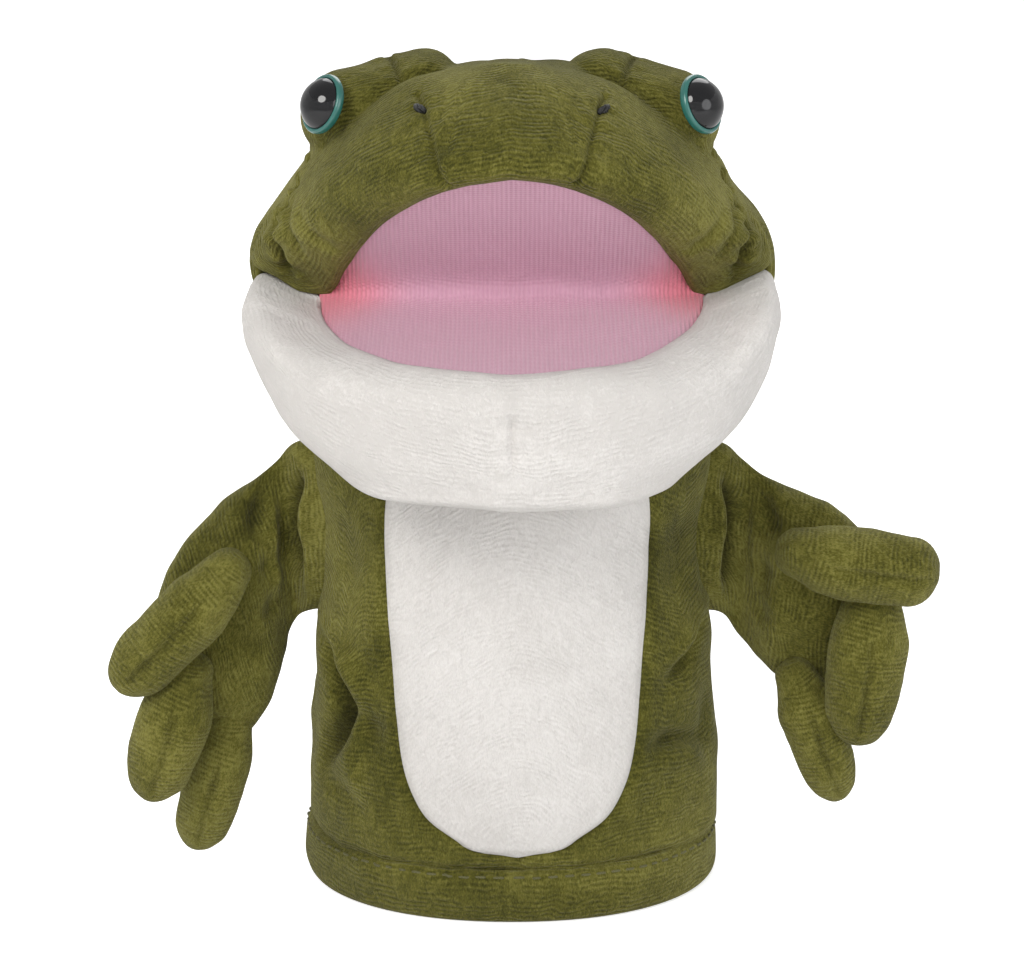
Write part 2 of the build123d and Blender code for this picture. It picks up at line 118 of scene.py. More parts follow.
def noise(points, size, seed=0):
    """Smooth random value from -1 to 1, with lumps about size across."""
    q = points / size + 31.7 * (seed + 1)
    cell = np.floor(q).astype(np.int64)
    f = q - cell
    f = f * f * (3 - 2 * f)
    total = np.zeros(points.shape[:-1])
    for corner in itertools.product((0, 1), repeat=3):
        c = cell + np.array(corner)
        h = (c[..., 0] * 73856093) ^ (c[..., 1] * 19349663) ^ (c[..., 2] * 83492791)
        h = (h * 2654435761 + seed * 97) & 0xFFFFFFFF
        h = ((h ^ (h >> 15)) * 2246822519) & 0xFFFFFFFF
        h = (h ^ (h >> 13)) & 0xFFFFFFFF
        weight = np.prod([f[..., k] if corner[k] else 1 - f[..., k] for k in range(3)], axis=0)
        total += weight * (h / 0xFFFFFFFF * 2 - 1)
    return total


def fractal(points, size, seed=0, octaves=3):
    return sum(noise(points, size / 2**k, seed + k) / 2**k for k in range(octaves))


def ramp(x, low, high):
    """Smooth step from 0 at low to 1 at high."""
    t = np.clip((x - low) / (high - low), 0, 1)
    return t * t * (3 - 2 * t)


def smooth_min(a, b, k):
    h = np.maximum(k - np.abs(a - b), 0) / k
    return np.minimum(a, b) - h * h * k / 4


def smooth_max(a, b, k):
    return -smooth_min(-a, -b, k)


def capsule(p, a, b, radius_a, radius_b):
    """Distance to a tapered rod from a to b."""
    a, b = np.array(a, float), np.array(b, float)
    t = np.clip((p - a) @ (b - a) / ((b - a) @ (b - a)), 0, 1)
    return np.linalg.norm(p - a - t[..., None] * (b - a), axis=-1) - (radius_a + t * (radius_b - radius_a))


def along(p, path):
    """(distance to a path through points, share of the way along it) for every point."""
    path = np.array(path, float)
    lengths = np.linalg.norm(np.diff(path, axis=0), axis=1)
    before = np.concatenate([[0], np.cumsum(lengths)])
    best, share = np.full(p.shape[:-1], 1e9), np.zeros(p.shape[:-1])
    for k in range(len(lengths)):
        d = path[k + 1] - path[k]
        t = np.clip((p - path[k]) @ d / (d @ d), 0, 1)
        gap = np.linalg.norm(p - path[k] - t[..., None] * d, axis=-1)
        nearer = gap < best
        best = np.where(nearer, gap, best)
        share = np.where(nearer, (before[k] + t * lengths[k]) / before[-1], share)
    return best, share


def smooth_path(path, count=24):
    """Points spread along a smooth curve through a few points."""
    path = np.array(path, float)
    t = np.linspace(0, 1, len(path))
    return np.stack([spline(t, path[:, k])(np.linspace(0, 1, count)) for k in range(path.shape[1])], axis=1)


def fold(p, path, width, depth, fade=0.25):
    """Soft trench (depth above 0 sinks) along a path, fading out at both ends."""
    gap, share = along(p, smooth_path(path))
    ends = ramp(share, 0, fade) * ramp(1 - share, 0, fade) if fade else 1.0
    return -depth * np.exp(-((gap / width) ** 2)) * ends


def seam(p, path, depth=1.1, width=1.3, pucker=0.5, seed=0):
    """Sewn line: a narrow trench with small puckers beside it."""
    gap, share = along(p, smooth_path(path, 40))
    length = np.linalg.norm(np.diff(smooth_path(path, 40), axis=0), axis=1).sum()
    beat = np.sin(share * length * 2 * math.pi / 7.0 + 2.0 * noise(p, 9.0, seed))
    return -depth * np.exp(-((gap / width) ** 2)) + pucker * beat * np.exp(-(((gap - 2.6) / 2.2) ** 2))


def cast(centre, directions, shape, far):
    """Points where rays from inside a shape leave it."""
    near, far = np.zeros(directions.shape[:-1]), np.full(directions.shape[:-1], far, float)
    for _ in range(26):
        middle = (near + far) / 2
        inside = shape(centre + directions * middle[..., None]) < 0
        near, far = np.where(inside, middle, near), np.where(inside, far, middle)
    return centre + directions * near[..., None]


def grid_normals(p, closed, outward_from=None):
    """Unit normals of a grid of points; rows run along v, columns along u."""
    du = (np.roll(p, -1, 1) - np.roll(p, 1, 1)) if closed else np.gradient(p, axis=1)
    dv = np.gradient(p, axis=0)
    n = np.cross(du, dv)
    n /= np.maximum(np.linalg.norm(n, axis=-1, keepdims=True), 1e-9)
    if outward_from is not None:
        flip = np.sign(((p - outward_from) * n).sum(-1, keepdims=True).mean())
        n = n * flip
    return n


# ------------------------------------------------------------------ meshes
def from_edge(p):
    """Length of cloth between the first row of a grid and every point of it."""
    steps = np.linalg.norm(np.diff(p, axis=0), axis=-1)
    return np.concatenate([np.zeros((1, p.shape[1])), np.cumsum(steps, axis=0)])


def tucked_edge(p, depth=1.5, width=2.2):
    """Pulls the first rows of a grid in, where the cloth is sewn down along its edge."""
    return -depth * np.exp(-((from_edge(p) / width) ** 2))


def pulled_rim(p, centre, line, inner, outer, reach):
    """Draws the first rows of a grid over to a line, growing between two distances from the middle."""
    line = np.array(line, float)
    turn = np.arctan2(np.abs(line[:, 0] - centre[0]), centre[1] - line[:, 1])
    order = np.argsort(turn)
    own = np.arctan2(np.abs(p[0, :, 0] - centre[0]), centre[1] - p[0, :, 1])
    aim = np.stack([np.interp(own, turn[order], line[order, k]) for k in range(3)], -1)
    aim[:, 0] *= np.sign(p[0, :, 0])
    share = ramp(np.abs(aim[:, 0]), inner, outer) * ramp(16 - aim[:, 1], 0, 8)
    pull = (aim - p[0]) * share[:, None]
    return pull[None] * (1 - ramp(from_edge(p), 0, reach))[..., None]


def on_cloth(p, path):
    """The same path, moved onto the nearest points of a grid."""
    flat = p[p[..., 0] >= -1].reshape(-1, 3)
    return [tuple(flat[np.argmin(((flat - q) ** 2).sum(-1))]) for q in smooth_path(path, 14)]


def grid_mesh(name, p, closed=False, flip=False, caps=()):
    """Mesh of a grid of points in mm, with nap coordinates: u across and v along the pile, in mm."""
    rows, cols = p.shape[:2]
    verts = (p.reshape(-1, 3) * MM).tolist()
    wide = cols if closed else cols - 1
    r, c = np.meshgrid(np.arange(rows - 1), np.arange(wide), indexing="ij")
    c2 = (c + 1) % cols
    below = r + 1
    quads = np.stack([r * cols + c, r * cols + c2, below * cols + c2, below * cols + c], -1).reshape(-1, 4)
    step_u = np.linalg.norm(np.diff(p, axis=1, append=p[:, :1]), axis=-1).mean(0)
    step_v = np.linalg.norm(np.diff(p, axis=0), axis=-1)
    u = np.concatenate([[0], np.cumsum(step_u)])
    v = np.concatenate([np.zeros((1, cols)), np.cumsum(step_v, axis=0)])
    uv = np.stack(
        [
            np.stack([u[c], v[r, c]], -1),
            np.stack([u[c + 1], v[r, c2]], -1),
            np.stack([u[c + 1], v[r + 1, c2]], -1),
            np.stack([u[c], v[r + 1, c]], -1),
        ],
        axis=2,
    ).reshape(-1, 4, 2)
    if flip:
        quads, uv = quads[:, ::-1], uv[:, ::-1]
    faces = quads.tolist()
    loops = uv.reshape(-1, 2)
    for row in caps:
        ring = [row % rows * cols + k for k in range(cols)]
        faces.append(ring if (row == 0) != flip else ring[::-1])
        loops = np.concatenate([loops, np.zeros((cols, 2))])
    mesh = bpy.data.meshes.new(name)
    mesh.from_pydata(verts, [], faces)
    layer = mesh.uv_layers.new(name="nap")
    layer.data.foreach_set("uv", loops.astype(np.float32).ravel())
    mesh.polygons.foreach_set("use_smooth", [True] * len(faces))
    mesh.update()
    o = bpy.data.objects.new(name, mesh)
    bpy.context.scene.collection.objects.link(o)
    return o


def paint(o, name, values):
    """Stores one number per point of a mesh for its material to read."""
    layer = o.data.attributes.new(name, "FLOAT", "POINT")
    layer.data.foreach_set("value", np.asarray(values, np.float32).ravel())


def paint_crease_shade(o, relief, full=3.0):
    """Paints shade into the pile's colour where folds and seams are pressed in."""
    paint(o, "crease_shade", np.clip((-relief - 0.5) / full, 0, 1) * 0.85)


def paint_sheen_and_tone(o, p, value, seed):
    """Paints sheen of the lit nap into the colour, lighter where value is above 0 and darker below, with
    uneven random tone on top.
    """
    paint(o, "tone", value + 0.22 * fractal(p, 34.0, seed))


def thicken(o, thickness, offset=-1.0):
    """Gives a sheet its cloth thickness, now, so that the mesh is final."""
    m = o.modifiers.new("cloth", "SOLIDIFY")
    m.thickness, m.offset, m.use_even_offset = thickness * MM, offset, False
    bpy.context.view_layer.objects.active = o
    bpy.ops.object.select_all(action="DESELECT")
    o.select_set(True)
    bpy.ops.object.modifier_apply(modifier=m.name)
    return o


# ------------------------------------------------------------------ materials
ROW_PITCH = 1.45  # mm between rows of pile


def new_material(name):
    material = bpy.data.materials.new(name)
    material.use_nodes = True
    nodes = material.node_tree.nodes
    return material, nodes, material.node_tree.links, nodes["Principled BSDF"]


def maths(nodes, links, operation, a, b=0.0):
    """Output of a maths node; a and b are numbers or outputs of other nodes."""
    node = nodes.new("ShaderNodeMath")
    node.operation = operation
    for socket, value in zip(node.inputs, (a, b)):
        if isinstance(value, (int, float)):
            socket.default_value = value
        else:
            links.new(value, socket)
    return node.outputs[0]


def mixed(nodes, links, factor, a, b, blend="MIX"):
    """Output that mixes two colours, each a colour or the output of another node."""
    node = nodes.new("ShaderNodeMix")
    node.data_type, node.blend_type = "RGBA", blend
    links.new(factor, node.inputs[0])
    for socket, value in zip((node.inputs[6], node.inputs[7]), (a, b)):
        if isinstance(value, (tuple, list)):
            socket.default_value = (*value, 1)
        else:
            links.new(value, socket)
    return node.outputs[2]


def attribute(nodes, name):
    node = nodes.new("ShaderNodeAttribute")
    node.attribute_name = name
    return node.outputs["Fac"]


def bumped(nodes, links, bsdf, height, strength, distance):
    bump = nodes.new("ShaderNodeBump")
    bump.inputs["Strength"].default_value = strength
    bump.inputs["Distance"].default_value = distance
    links.new(height, bump.inputs["Height"])
    links.new(bump.outputs["Normal"], bsdf.inputs["Normal"])


def plush(name, dark, mid, light, lean=1.0, streak=1.0, sheen=0.35, rows=1.0):
    """Short-napped plush: patches where the pile leans another way, streaks along the nap, a soft sheen, and
    painted sheen and painted shade read from the mesh's attributes.
    """
    material, nodes, links, bsdf = new_material(name)
    place = nodes.new("ShaderNodeTexCoord")
    nap = nodes.new("ShaderNodeUVMap")
    nap.uv_map = "nap"

    def pattern(source, scale, detail, rough, distort):
        mapping = nodes.new("ShaderNodeMapping")
        mapping.inputs["Scale"].default_value = scale
        links.new(source, mapping.inputs["Vector"])
        tex = nodes.new("ShaderNodeTexNoise")
        tex.inputs["Scale"].default_value = 1.0
        tex.inputs["Detail"].default_value = detail
        tex.inputs["Roughness"].default_value = rough
        tex.inputs["Distortion"].default_value = distort
        links.new(mapping.outputs["Vector"], tex.inputs["Vector"])
        return tex.outputs["Fac"]

    def stretch(value, low, high, to_low=0.0, to_high=1.0):
        node = nodes.new("ShaderNodeMapRange")
        node.interpolation_type = "SMOOTHSTEP"
        keys = ("From Min", "From Max", "To Min", "To Max")
        for key, number in zip(keys, (low, high, to_low, to_high)):
            node.inputs[key].default_value = number
        links.new(value, node.inputs["Value"])
        return node.outputs["Result"]

    def combine(operation, a, b):
        return maths(nodes, links, operation, a, b)

    patches = stretch(pattern(place.outputs["Object"], (30, 30, 30), 2, 0.5, 0.6), 0.33, 0.70)
    tufts = pattern(nap.outputs["UV"], (0.42, 0.26, 1), 3, 0.6, 1.4)
    fibres = pattern(nap.outputs["UV"], (3.0, 1.1, 1), 3, 0.65, 0.9)
    broad = combine("MULTIPLY", pattern(nap.outputs["UV"], (0.07, 0.07, 1), 2, 0.5, 0.4), 26.0)
    close = combine("MULTIPLY", pattern(nap.outputs["UV"], (0.55, 0.55, 1), 2, 0.6, 0.0), 4.5)
    wander = combine("ADD", broad, close)
    split = nodes.new("ShaderNodeSeparateXYZ")
    links.new(nap.outputs["UV"], split.inputs["Vector"])
    along_rows = combine("MULTIPLY", split.outputs["Y"], 2 * math.pi / ROW_PITCH)
    ribs = combine("SINE", combine("ADD", along_rows, wander), 0.0)
    strength = stretch(pattern(nap.outputs["UV"], (0.16, 0.16, 1), 2, 0.5, 0.5), 0.35, 0.62, 0.15, 1.0)
    ribs = combine("MULTIPLY", ribs, strength)
    fleck = stretch(fibres, 0.34, 0.68)
    clump = stretch(tufts, 0.33, 0.68)
    mix = combine("MULTIPLY", patches, 0.30 * lean)
    for value, share in (
        (clump, 0.26 * streak),
        (fleck, 0.44 * streak),
        (ribs, 0.15 * rows),
        # painted sheen of the lit nap, mixed with random tone, read from the mesh
        (attribute(nodes, "tone"), 0.5),
    ):
        mix = combine("ADD", mix, combine("MULTIPLY", value, share))
    ramp_node = nodes.new("ShaderNodeValToRGB")
    ramp_node.color_ramp.elements[0].position = 0.08
    ramp_node.color_ramp.elements[0].color = (*dark, 1)
    ramp_node.color_ramp.elements[1].position = 0.98
    ramp_node.color_ramp.elements[1].color = (*light, 1)
    middle = ramp_node.color_ramp.elements.new(0.5)
    middle.color = (*mid, 1)
    links.new(mix, ramp_node.inputs["Fac"])
    # Painted shade: the colour is darkened towards a shadow colour where folds and seams are pressed in.
    shadow = [0.30 + 0.45 * c for c in mid]
    shade = mixed(nodes, links, attribute(nodes, "crease_shade"), ramp_node.outputs["Color"], shadow, "MULTIPLY")
    links.new(shade, bsdf.inputs["Base Color"])
    bsdf.inputs["Roughness"].default_value = 0.9
    bsdf.inputs["Specular IOR Level"].default_value = 0.15
    bsdf.inputs["Sheen Weight"].default_value = sheen
    bsdf.inputs["Sheen Roughness"].default_value = 0.45
    bsdf.inputs["Sheen Tint"].default_value = (*[min(1.0, c * 1.6 + 0.25) for c in light], 1)
    height = combine("ADD", combine("MULTIPLY", fibres, 0.6), combine("MULTIPLY", tufts, 0.8))
    height = combine("ADD", height, combine("MULTIPLY", ribs, 0.20 * rows))
    bumped(nodes, links, bsdf, height, 0.75, 0.0011)
    return material


def wear(o, material):
    o.data.materials.clear()
    o.data.materials.append(material)


def fit(o, material, replaced, rides=None):
    """Gives a piece its material, hides the CAD nodes it stands for, and hangs it on the body that carries it
    when one is named.
    """
    wear(o, material)
    if rides:
        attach(o, rides)
    else:
        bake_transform(o)
    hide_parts(*replaced)


OLIVE = plush("olive_plush", (0.036, 0.036, 0.004), (0.098, 0.092, 0.014), (0.205, 0.192, 0.046), sheen=0.28)
WHITES = (0.60, 0.575, 0.55), (0.715, 0.69, 0.665), (0.79, 0.77, 0.75)
WHITE = plush("white_plush", *WHITES, lean=0.6, streak=0.7, sheen=0.15, rows=0.5)


# ------------------------------------------------------------------ upper head
# height, half width, reach in front and behind the widest line, reach of that line
HEAD = [
    (120, 52, 30, 30, -3),
    (134, 55, 30, 34, -3),
    (140, 58.5, 30, 38.5, -3),
    (148, 65, 30, 43, -3),
    (158, 70, 30, 46, -3),
    (168, 73, 30, 48, -3),
    (175, 74, 31, 48.5, -3),
    (182, 73.7, 40.5, 48.5, -3),
    (190, 71.3, 52, 47.5, -3),
    (202, 62.5, 63, 44, -2),
    (208, 58.5, 63.5, 41, 0),
    (215, 53.5, 59, 38, 2),
    (222, 47, 50, 34, 6),
    (230, 37, 36, 29, 12),
    (236, 25, 20, 22, 18),
    (239.6, 6, 6, 7, 23),
]
HEAD_COLUMNS = columns(HEAD)
HEAD_TOP = HEAD[-1][0]
MOUND_INNER = (24.5, -11.0, 229.0)
MOUND_OUTER = (43.5, -12.5, 223.5)
UPPER_NORMAL = np.array([0, -math.sin(UPPER_SLOPE), -math.cos(UPPER_SLOPE)])
LOWER_NORMAL = np.array([0, -math.sin(LOWER_SLOPE), math.cos(LOWER_SLOPE)])


def lofted(p, cols, top, power=2.2):
    """Rough distance outside a form given by level sections."""
    z = p[..., 2]
    width, ahead, behind, line = (c(z) for c in cols)
    reach = -p[..., 1] - line
    depth = np.where(reach > 0, ahead, behind)
    width, depth = np.maximum(width, 0.5), np.maximum(depth, 0.5)
    e = (np.abs(p[..., 0]) / width) ** power + (np.abs(reach) / depth) ** power
    return np.maximum((e ** (1 / power) - 1) * np.minimum(width, depth), (z - top) * 3)


def head_shape(p):
    q = np.stack([np.abs(p[..., 0]), p[..., 1], p[..., 2]], -1)
    body = lofted(p, HEAD_COLUMNS, HEAD_TOP)
    mound = capsule(q, MOUND_INNER, MOUND_OUTER, 12.6, 13.0)
    body = smooth_min(body, mound, 3.0)
    opening = (p - HINGE) @ UPPER_NORMAL
    return smooth_max(body, opening, 5.0 + 9.0 * ramp(q[..., 0], 8, 48))


LIP_HALF_WIDTH = MOUTH_HALF_WIDTH - 1.0
UPPER_LIP = spline(
    [0, 10, 19, 28, 35, 41, 45, 49, 52],
    [0.95, 0.92, 0.85, 0.72, 0.575, 0.41, 0.27, 0.12, 0.0],
)


def palate_edge(s):
    """Point on the upper lip, s from 0 at the corner of the mouth to 1 at its middle: a soft pointed arch."""
    x = LIP_HALF_WIDTH * math.cos(s * math.pi / 2)
    run = UPPER_DEPTH * float(UPPER_LIP(x))
    return [x, HINGE[1] - run * math.cos(UPPER_SLOPE), HINGE[2] + run * math.sin(UPPER_SLOPE)]


def tongue_edge(s):
    a = s * math.pi / 2
    run = LOWER_DEPTH * math.sin(a)
    x = MOUTH_HALF_WIDTH * math.cos(a)
    return [x, HINGE[1] - run * math.cos(LOWER_SLOPE), HINGE[2] - run * math.sin(LOWER_SLOPE)]


HEAD_CENTRE = np.array([0, 0.0, 192.0])
CORNER_DRAW = np.array([0, -1.2, -2.6])  # how far the lip is drawn down where it meets the jaw
CHEEK_LINE = [(58, -12, 172), (64, -10, 174), (70, -6, 177), (74, -1, 180), (74.5, 4, 178)]
SIDE_LINE = [(73.5, 6.5, 168), (71, 8.5, 156), (66, 10, 148), (59, 13, 141)]
SIDE_LINE += [(48, 24, 139), (30, 36, 138.5), (0, 41, 138.5)]


def edge_table(centre, points):
    """Azimuth (0 ahead, growing to the puppet's left) and elevation of points seen from a centre."""
    d = np.array(points, float) - centre
    azimuth = np.arctan2(d[:, 0], -d[:, 1])
    elevation = np.arctan2(d[:, 2], np.hypot(d[:, 0], d[:, 1]))
    return azimuth, elevation


def rays(azimuth, elevation):
    flat = np.cos(elevation)
    return np.stack([np.sin(azimuth) * flat, -np.cos(azimuth) * flat, np.sin(elevation)], -1)


def mirrored(path):
    return [(-x, y, z) for x, y, z in path]


def both(p, paths, form, **kw):
    """Adds a fold or a seam on both sides of the head."""
    return sum(form(p, path, **kw) + form(p, mirrored(path), **kw) for path in paths)


NOSTRIL_SEAM = [(16.5, -56, 211), (19.5, -51.5, 219), (23, -44, 229), (26, -37, 235)]
CHEEK_SEAM = [(54, -8, 214), (57.5, -14, 204), (60.5, -14, 194), (62, -13, 185), (61.5, -11, 176)]
MOUND_CREASE = [(15, -19, 239), (29, -23, 234), (44, -23, 223), (54, -20, 214)]
MOUND_DART = [(30, -22.5, 234), (32.5, -15, 239.5), (34, -9, 239.5)]
BACK_SEAM = [(0, -2, 238), (0, 22, 225), (0, 37, 208), (0, 46, 188), (0, 48, 168), (0, 44, 150), (0, 40, 139)]
BACK_DART = [(24, 10, 234), (18, 20, 226), (9, 30, 217), (0, 38, 207)]


def head_relief(p):
    """Seams, gathers and soft dents of the upper head."""
    side = np.abs(p[..., 0])
    d = both(p, [on_cloth(p, NOSTRIL_SEAM)], seam, depth=1.5, width=0.9, pucker=0.35)
    cheek = both(p, [on_cloth(p, CHEEK_SEAM)], seam, depth=2.9, width=1.5, pucker=0.7, seed=3)
    d += cheek * ramp(p[..., 2], 173, 182)
    d += both(p, [on_cloth(p, MOUND_DART)], seam, depth=1.5, width=0.9, pucker=0.3)
    d += seam(p, BACK_SEAM, depth=1.1, width=1.1, pucker=0.55, seed=5)
    d += both(p, [BACK_DART], seam, depth=1.6, width=1.6, pucker=0.6, seed=6)
    d += both(p, [MOUND_CREASE], fold, width=1.7, depth=2.2, fade=0.2)
    gathers = [
        [(55, -18, 203), (56, -19, 193), (55.5, -18, 184)],
        [(51.5, -22.5, 199), (48, -25, 194), (44, -27, 189)],
        [(64, -9, 199), (66.5, -8, 190), (67, -8, 181)],
        [(69, -3, 196), (71, -2, 188), (71, -3, 180)],
    ]
    for k, path in enumerate(gathers):
        depth = (1.7, 1.5, 1.3, 1.1)[k]
        d += both(p, [on_cloth(p, path)], fold, width=1.9 + 0.4 * (k > 1), depth=depth, fade=0.35)
    back_puckers = [
        [(6, 40, 202), (10, 42, 195), (16, 43, 190)],
        [(4, 44, 193), (9, 46, 186), (17, 46, 180)],
        [(3, 46.5, 184), (8, 47.5, 177), (13, 47.5, 172)],
        [(13, 29, 219), (20, 30, 214), (29, 30, 210)],
        [(26, 15, 229), (34, 17, 221), (40, 18, 214)],
        [(36, 10, 222), (44, 12, 214), (49, 14, 206)],
    ]
    for k, path in enumerate(back_puckers):
        d += both(p, [path], fold, width=2.4, depth=1.5 if k < 3 else 1.2, fade=0.4)
    d += 1.0 * fractal(p, 26.0, 11) + 0.28 * noise(p, 7.0, 15)
    d -= 1.6 * np.exp(-(((p[..., 2] - 146) / 3.5) ** 2)) * ramp(p[..., 1], 5, 20) * 0.6
    gathered = 0.9 * np.sin(side * 0.55 + 1.3 * noise(p, 20, 21))
    d += gathered * ramp(158 - p[..., 2], 0, 16) * ramp(p[..., 1], 8, 22)
    return d


def head_grid(centre, edge, shape, cols=560, rows=230, upward=True, far=130.0):
    azimuths, elevations = edge_table(centre, edge)
    azimuth = np.linspace(-math.pi, math.pi, cols, endpoint=False)
    start = np.interp(np.abs(azimuth), azimuths[np.argsort(azimuths)], elevations[np.argsort(azimuths)])
    end = math.pi / 2 if upward else -math.pi / 2
    t = np.linspace(0, 0.994, rows)[:, None]
    t = t + 0.10 * np.sin(math.pi * t) * (t - 1) * 1.0
    elevation = start[None, :] + (end - start[None, :]) * t
    return cast(centre, rays(azimuth[None, :] + 0 * elevation, elevation), shape, far)


head_edge = [palate_edge(s) for s in np.linspace(1, 0, 30)] + CHEEK_LINE + SIDE_LINE
head_points = head_grid(HEAD_CENTRE, head_edge, head_shape)
at_corner = ramp(np.abs(head_points[..., 0]), 44, 51) * (1 - ramp(np.abs(head_points[..., 0]), 58, 68))
at_corner = at_corner * ramp(-head_points[..., 1], 2, 8) * (1 - ramp(from_edge(head_points), 0, 12))
head_points = head_points + at_corner[..., None] * CORNER_DRAW
head_normals = grid_normals(head_points, True, HEAD_CENTRE)
relief = head_relief(head_points)
head_points = head_points + head_normals * (relief + tucked_edge(head_points))[..., None]
head = grid_mesh("head_skin", head_points, closed=True, caps=(-1,))
paint_crease_shade(head, relief)
# Painted sheen of the lit nap: lighter towards the sides of the head, darker towards the snout.
cheek_sheen = 0.10 + 0.32 * ramp(np.abs(head_points[..., 0]), 40, 66)
cheek_sheen = cheek_sheen - 0.16 * ramp(-head_points[..., 1], 30, 60)
paint_sheen_and_tone(head, head_points, cheek_sheen, 91)
thicken(head, PLUSH_THICKNESS)
HEAD_NODES = ["forehead_panel"]
HEAD_NODES += [f"{n}_{s}" for n in ("snout_panel", "head_back", "eye_mound") for s in SIDES]
HEAD_NODES += ["head_filling", "palate_board", "finger_pocket"]
HEAD_NODES += [f"{n}_{s}" for n in ("mound_filling", "eye_washer") for s in SIDES]
fit(head, OLIVE, HEAD_NODES, rides="head")

# ------------------------------------------------------------------ jaw
JAW = [
    (126.5, 12, 5, 5, 60),
    (128.5, 30, 14, 10, 58),
    (133, 45, 24, 18, 52),
    (140, 56, 36, 26, 42),
    (150, 65.5, 47, 28, 32),
    (160, 71, 58, 34, 22),
    (168, 73.8, 63, 44, 17),
    (176, 73.6, 68, 52, 12),
    (186, 71.0, 71, 54, 9),
    (196, 68.5, 71, 54, 9),
]
JAW_COLUMNS = columns(JAW)


def jaw_shape(p):
    body = lofted(p, JAW_COLUMNS, JAW[-1][0])
    body = np.maximum(body, (JAW[0][0] - p[..., 2])) + 3.2 * ramp(p[..., 1], -5, 6)
    beside = ramp(np.abs(p[..., 0]), 54, 76)
    opening = (p - HINGE) @ LOWER_NORMAL - 8.0 * beside
    return smooth_max(body, opening, 11.0 - 4.0 * beside)


JAW_CENTRE = np.array([0, -34.0, 148.0])
JAW_RIM = [(54, -11, 174), (57, -10, 175.5), (60, -8.5, 177)]
JAW_RIM += [(63.5, -4.5, 180), (66, 0.5, 184), (66.5, 6, 184)]
JAW_BACK = [(66.5, 9.5, 170), (60, 11, 162), (40, 11, 160), (0, 11, 160)]
jaw_edge = [tongue_edge(s) for s in np.linspace(1, 0, 30)] + JAW_RIM + JAW_BACK
jaw_points = head_grid(JAW_CENTRE, jaw_edge, jaw_shape, 520, 190, upward=False, far=120.0)
jaw_points = jaw_points + pulled_rim(jaw_points, JAW_CENTRE, jaw_edge, 48.5, 53.5, 17.0)
jaw_normals = grid_normals(jaw_points, True, JAW_CENTRE)
CHIN_SEAM = [(0, -78, 158), (0, -79.5, 150), (0, -77, 140), (0, -70, 130), (0, -60, 126.5)]
relief = seam(jaw_points, CHIN_SEAM, depth=1.3, width=0.9, pucker=0.3)
relief += 1.1 * fractal(jaw_points, 30.0, 31) + 0.2 * noise(jaw_points, 7.0, 35)
jaw_points = jaw_points + jaw_normals * (relief + tucked_edge(jaw_points, 1.0))[..., None]
jaw = grid_mesh("jaw_skin", jaw_points, closed=True, flip=True, caps=(-1,))
paint_sheen_and_tone(jaw, jaw_points, -0.35, 93)
thicken(jaw, PLUSH_THICKNESS)
JAW_NODES = ["jaw_panel_left", "jaw_panel_right", "jaw_filling", "tongue_board", "thumb_pocket"]
fit(jaw, WHITE, JAW_NODES)

# ------------------------------------------------------------------ mouth lining
FOLD_SOFTNESS = 0.26
HIDDEN_CORNER = 53.5  # how far out the knit runs on under the cheeks


def lip_line(points, normals, depth=0.9):
    """Height and reach, against x, of the middle of the cloth along a lip."""
    row = points[0] - normals[0] * depth
    near = (row[:, 1] < HINGE[1] - 0.5) & (np.abs(row[:, 0]) < MOUTH_HALF_WIDTH)
    row = row[near]
    row = row[np.argsort(row[:, 0])]
    corner = np.array([HIDDEN_CORNER, HINGE[1] + 2.0, HINGE[2] - 0.3])
    return np.concatenate([[corner * (-1, 1, 1)], row, [corner]])


def mouth_grid(upper, lower, rows=150, cols=260):
    """Sheet along straight ribs from one lip, round the fold of the mouth, to the other lip."""
    wide = HIDDEN_CORNER - 0.1
    x = wide * np.sin(np.linspace(-math.pi / 2, math.pi / 2, cols))[None, :]
    top = np.stack([np.interp(x, upper[:, 0], upper[:, k]) for k in (1, 2)], -1)
    low = np.stack([np.interp(x, lower[:, 0], lower[:, k]) for k in (1, 2)], -1)
    t = np.linspace(-1, 1, rows)[:, None]
    t = t * (0.55 + 0.45 * np.abs(t))
    root = np.sqrt(t * t + FOLD_SOFTNESS**2)
    full = math.sqrt(1 + FOLD_SOFTNESS**2) + 1
    fold_place = HINGE[1:3]
    p = fold_place + (top - fold_place) * ((root - t) / full)[..., None]
    p = p + (low - fold_place) * ((root + t) / full)[..., None]
    return np.concatenate([(x + 0 * t)[..., None], p], -1)


RIB_PITCH, STITCH_PITCH = 1.25, 0.9  # mm


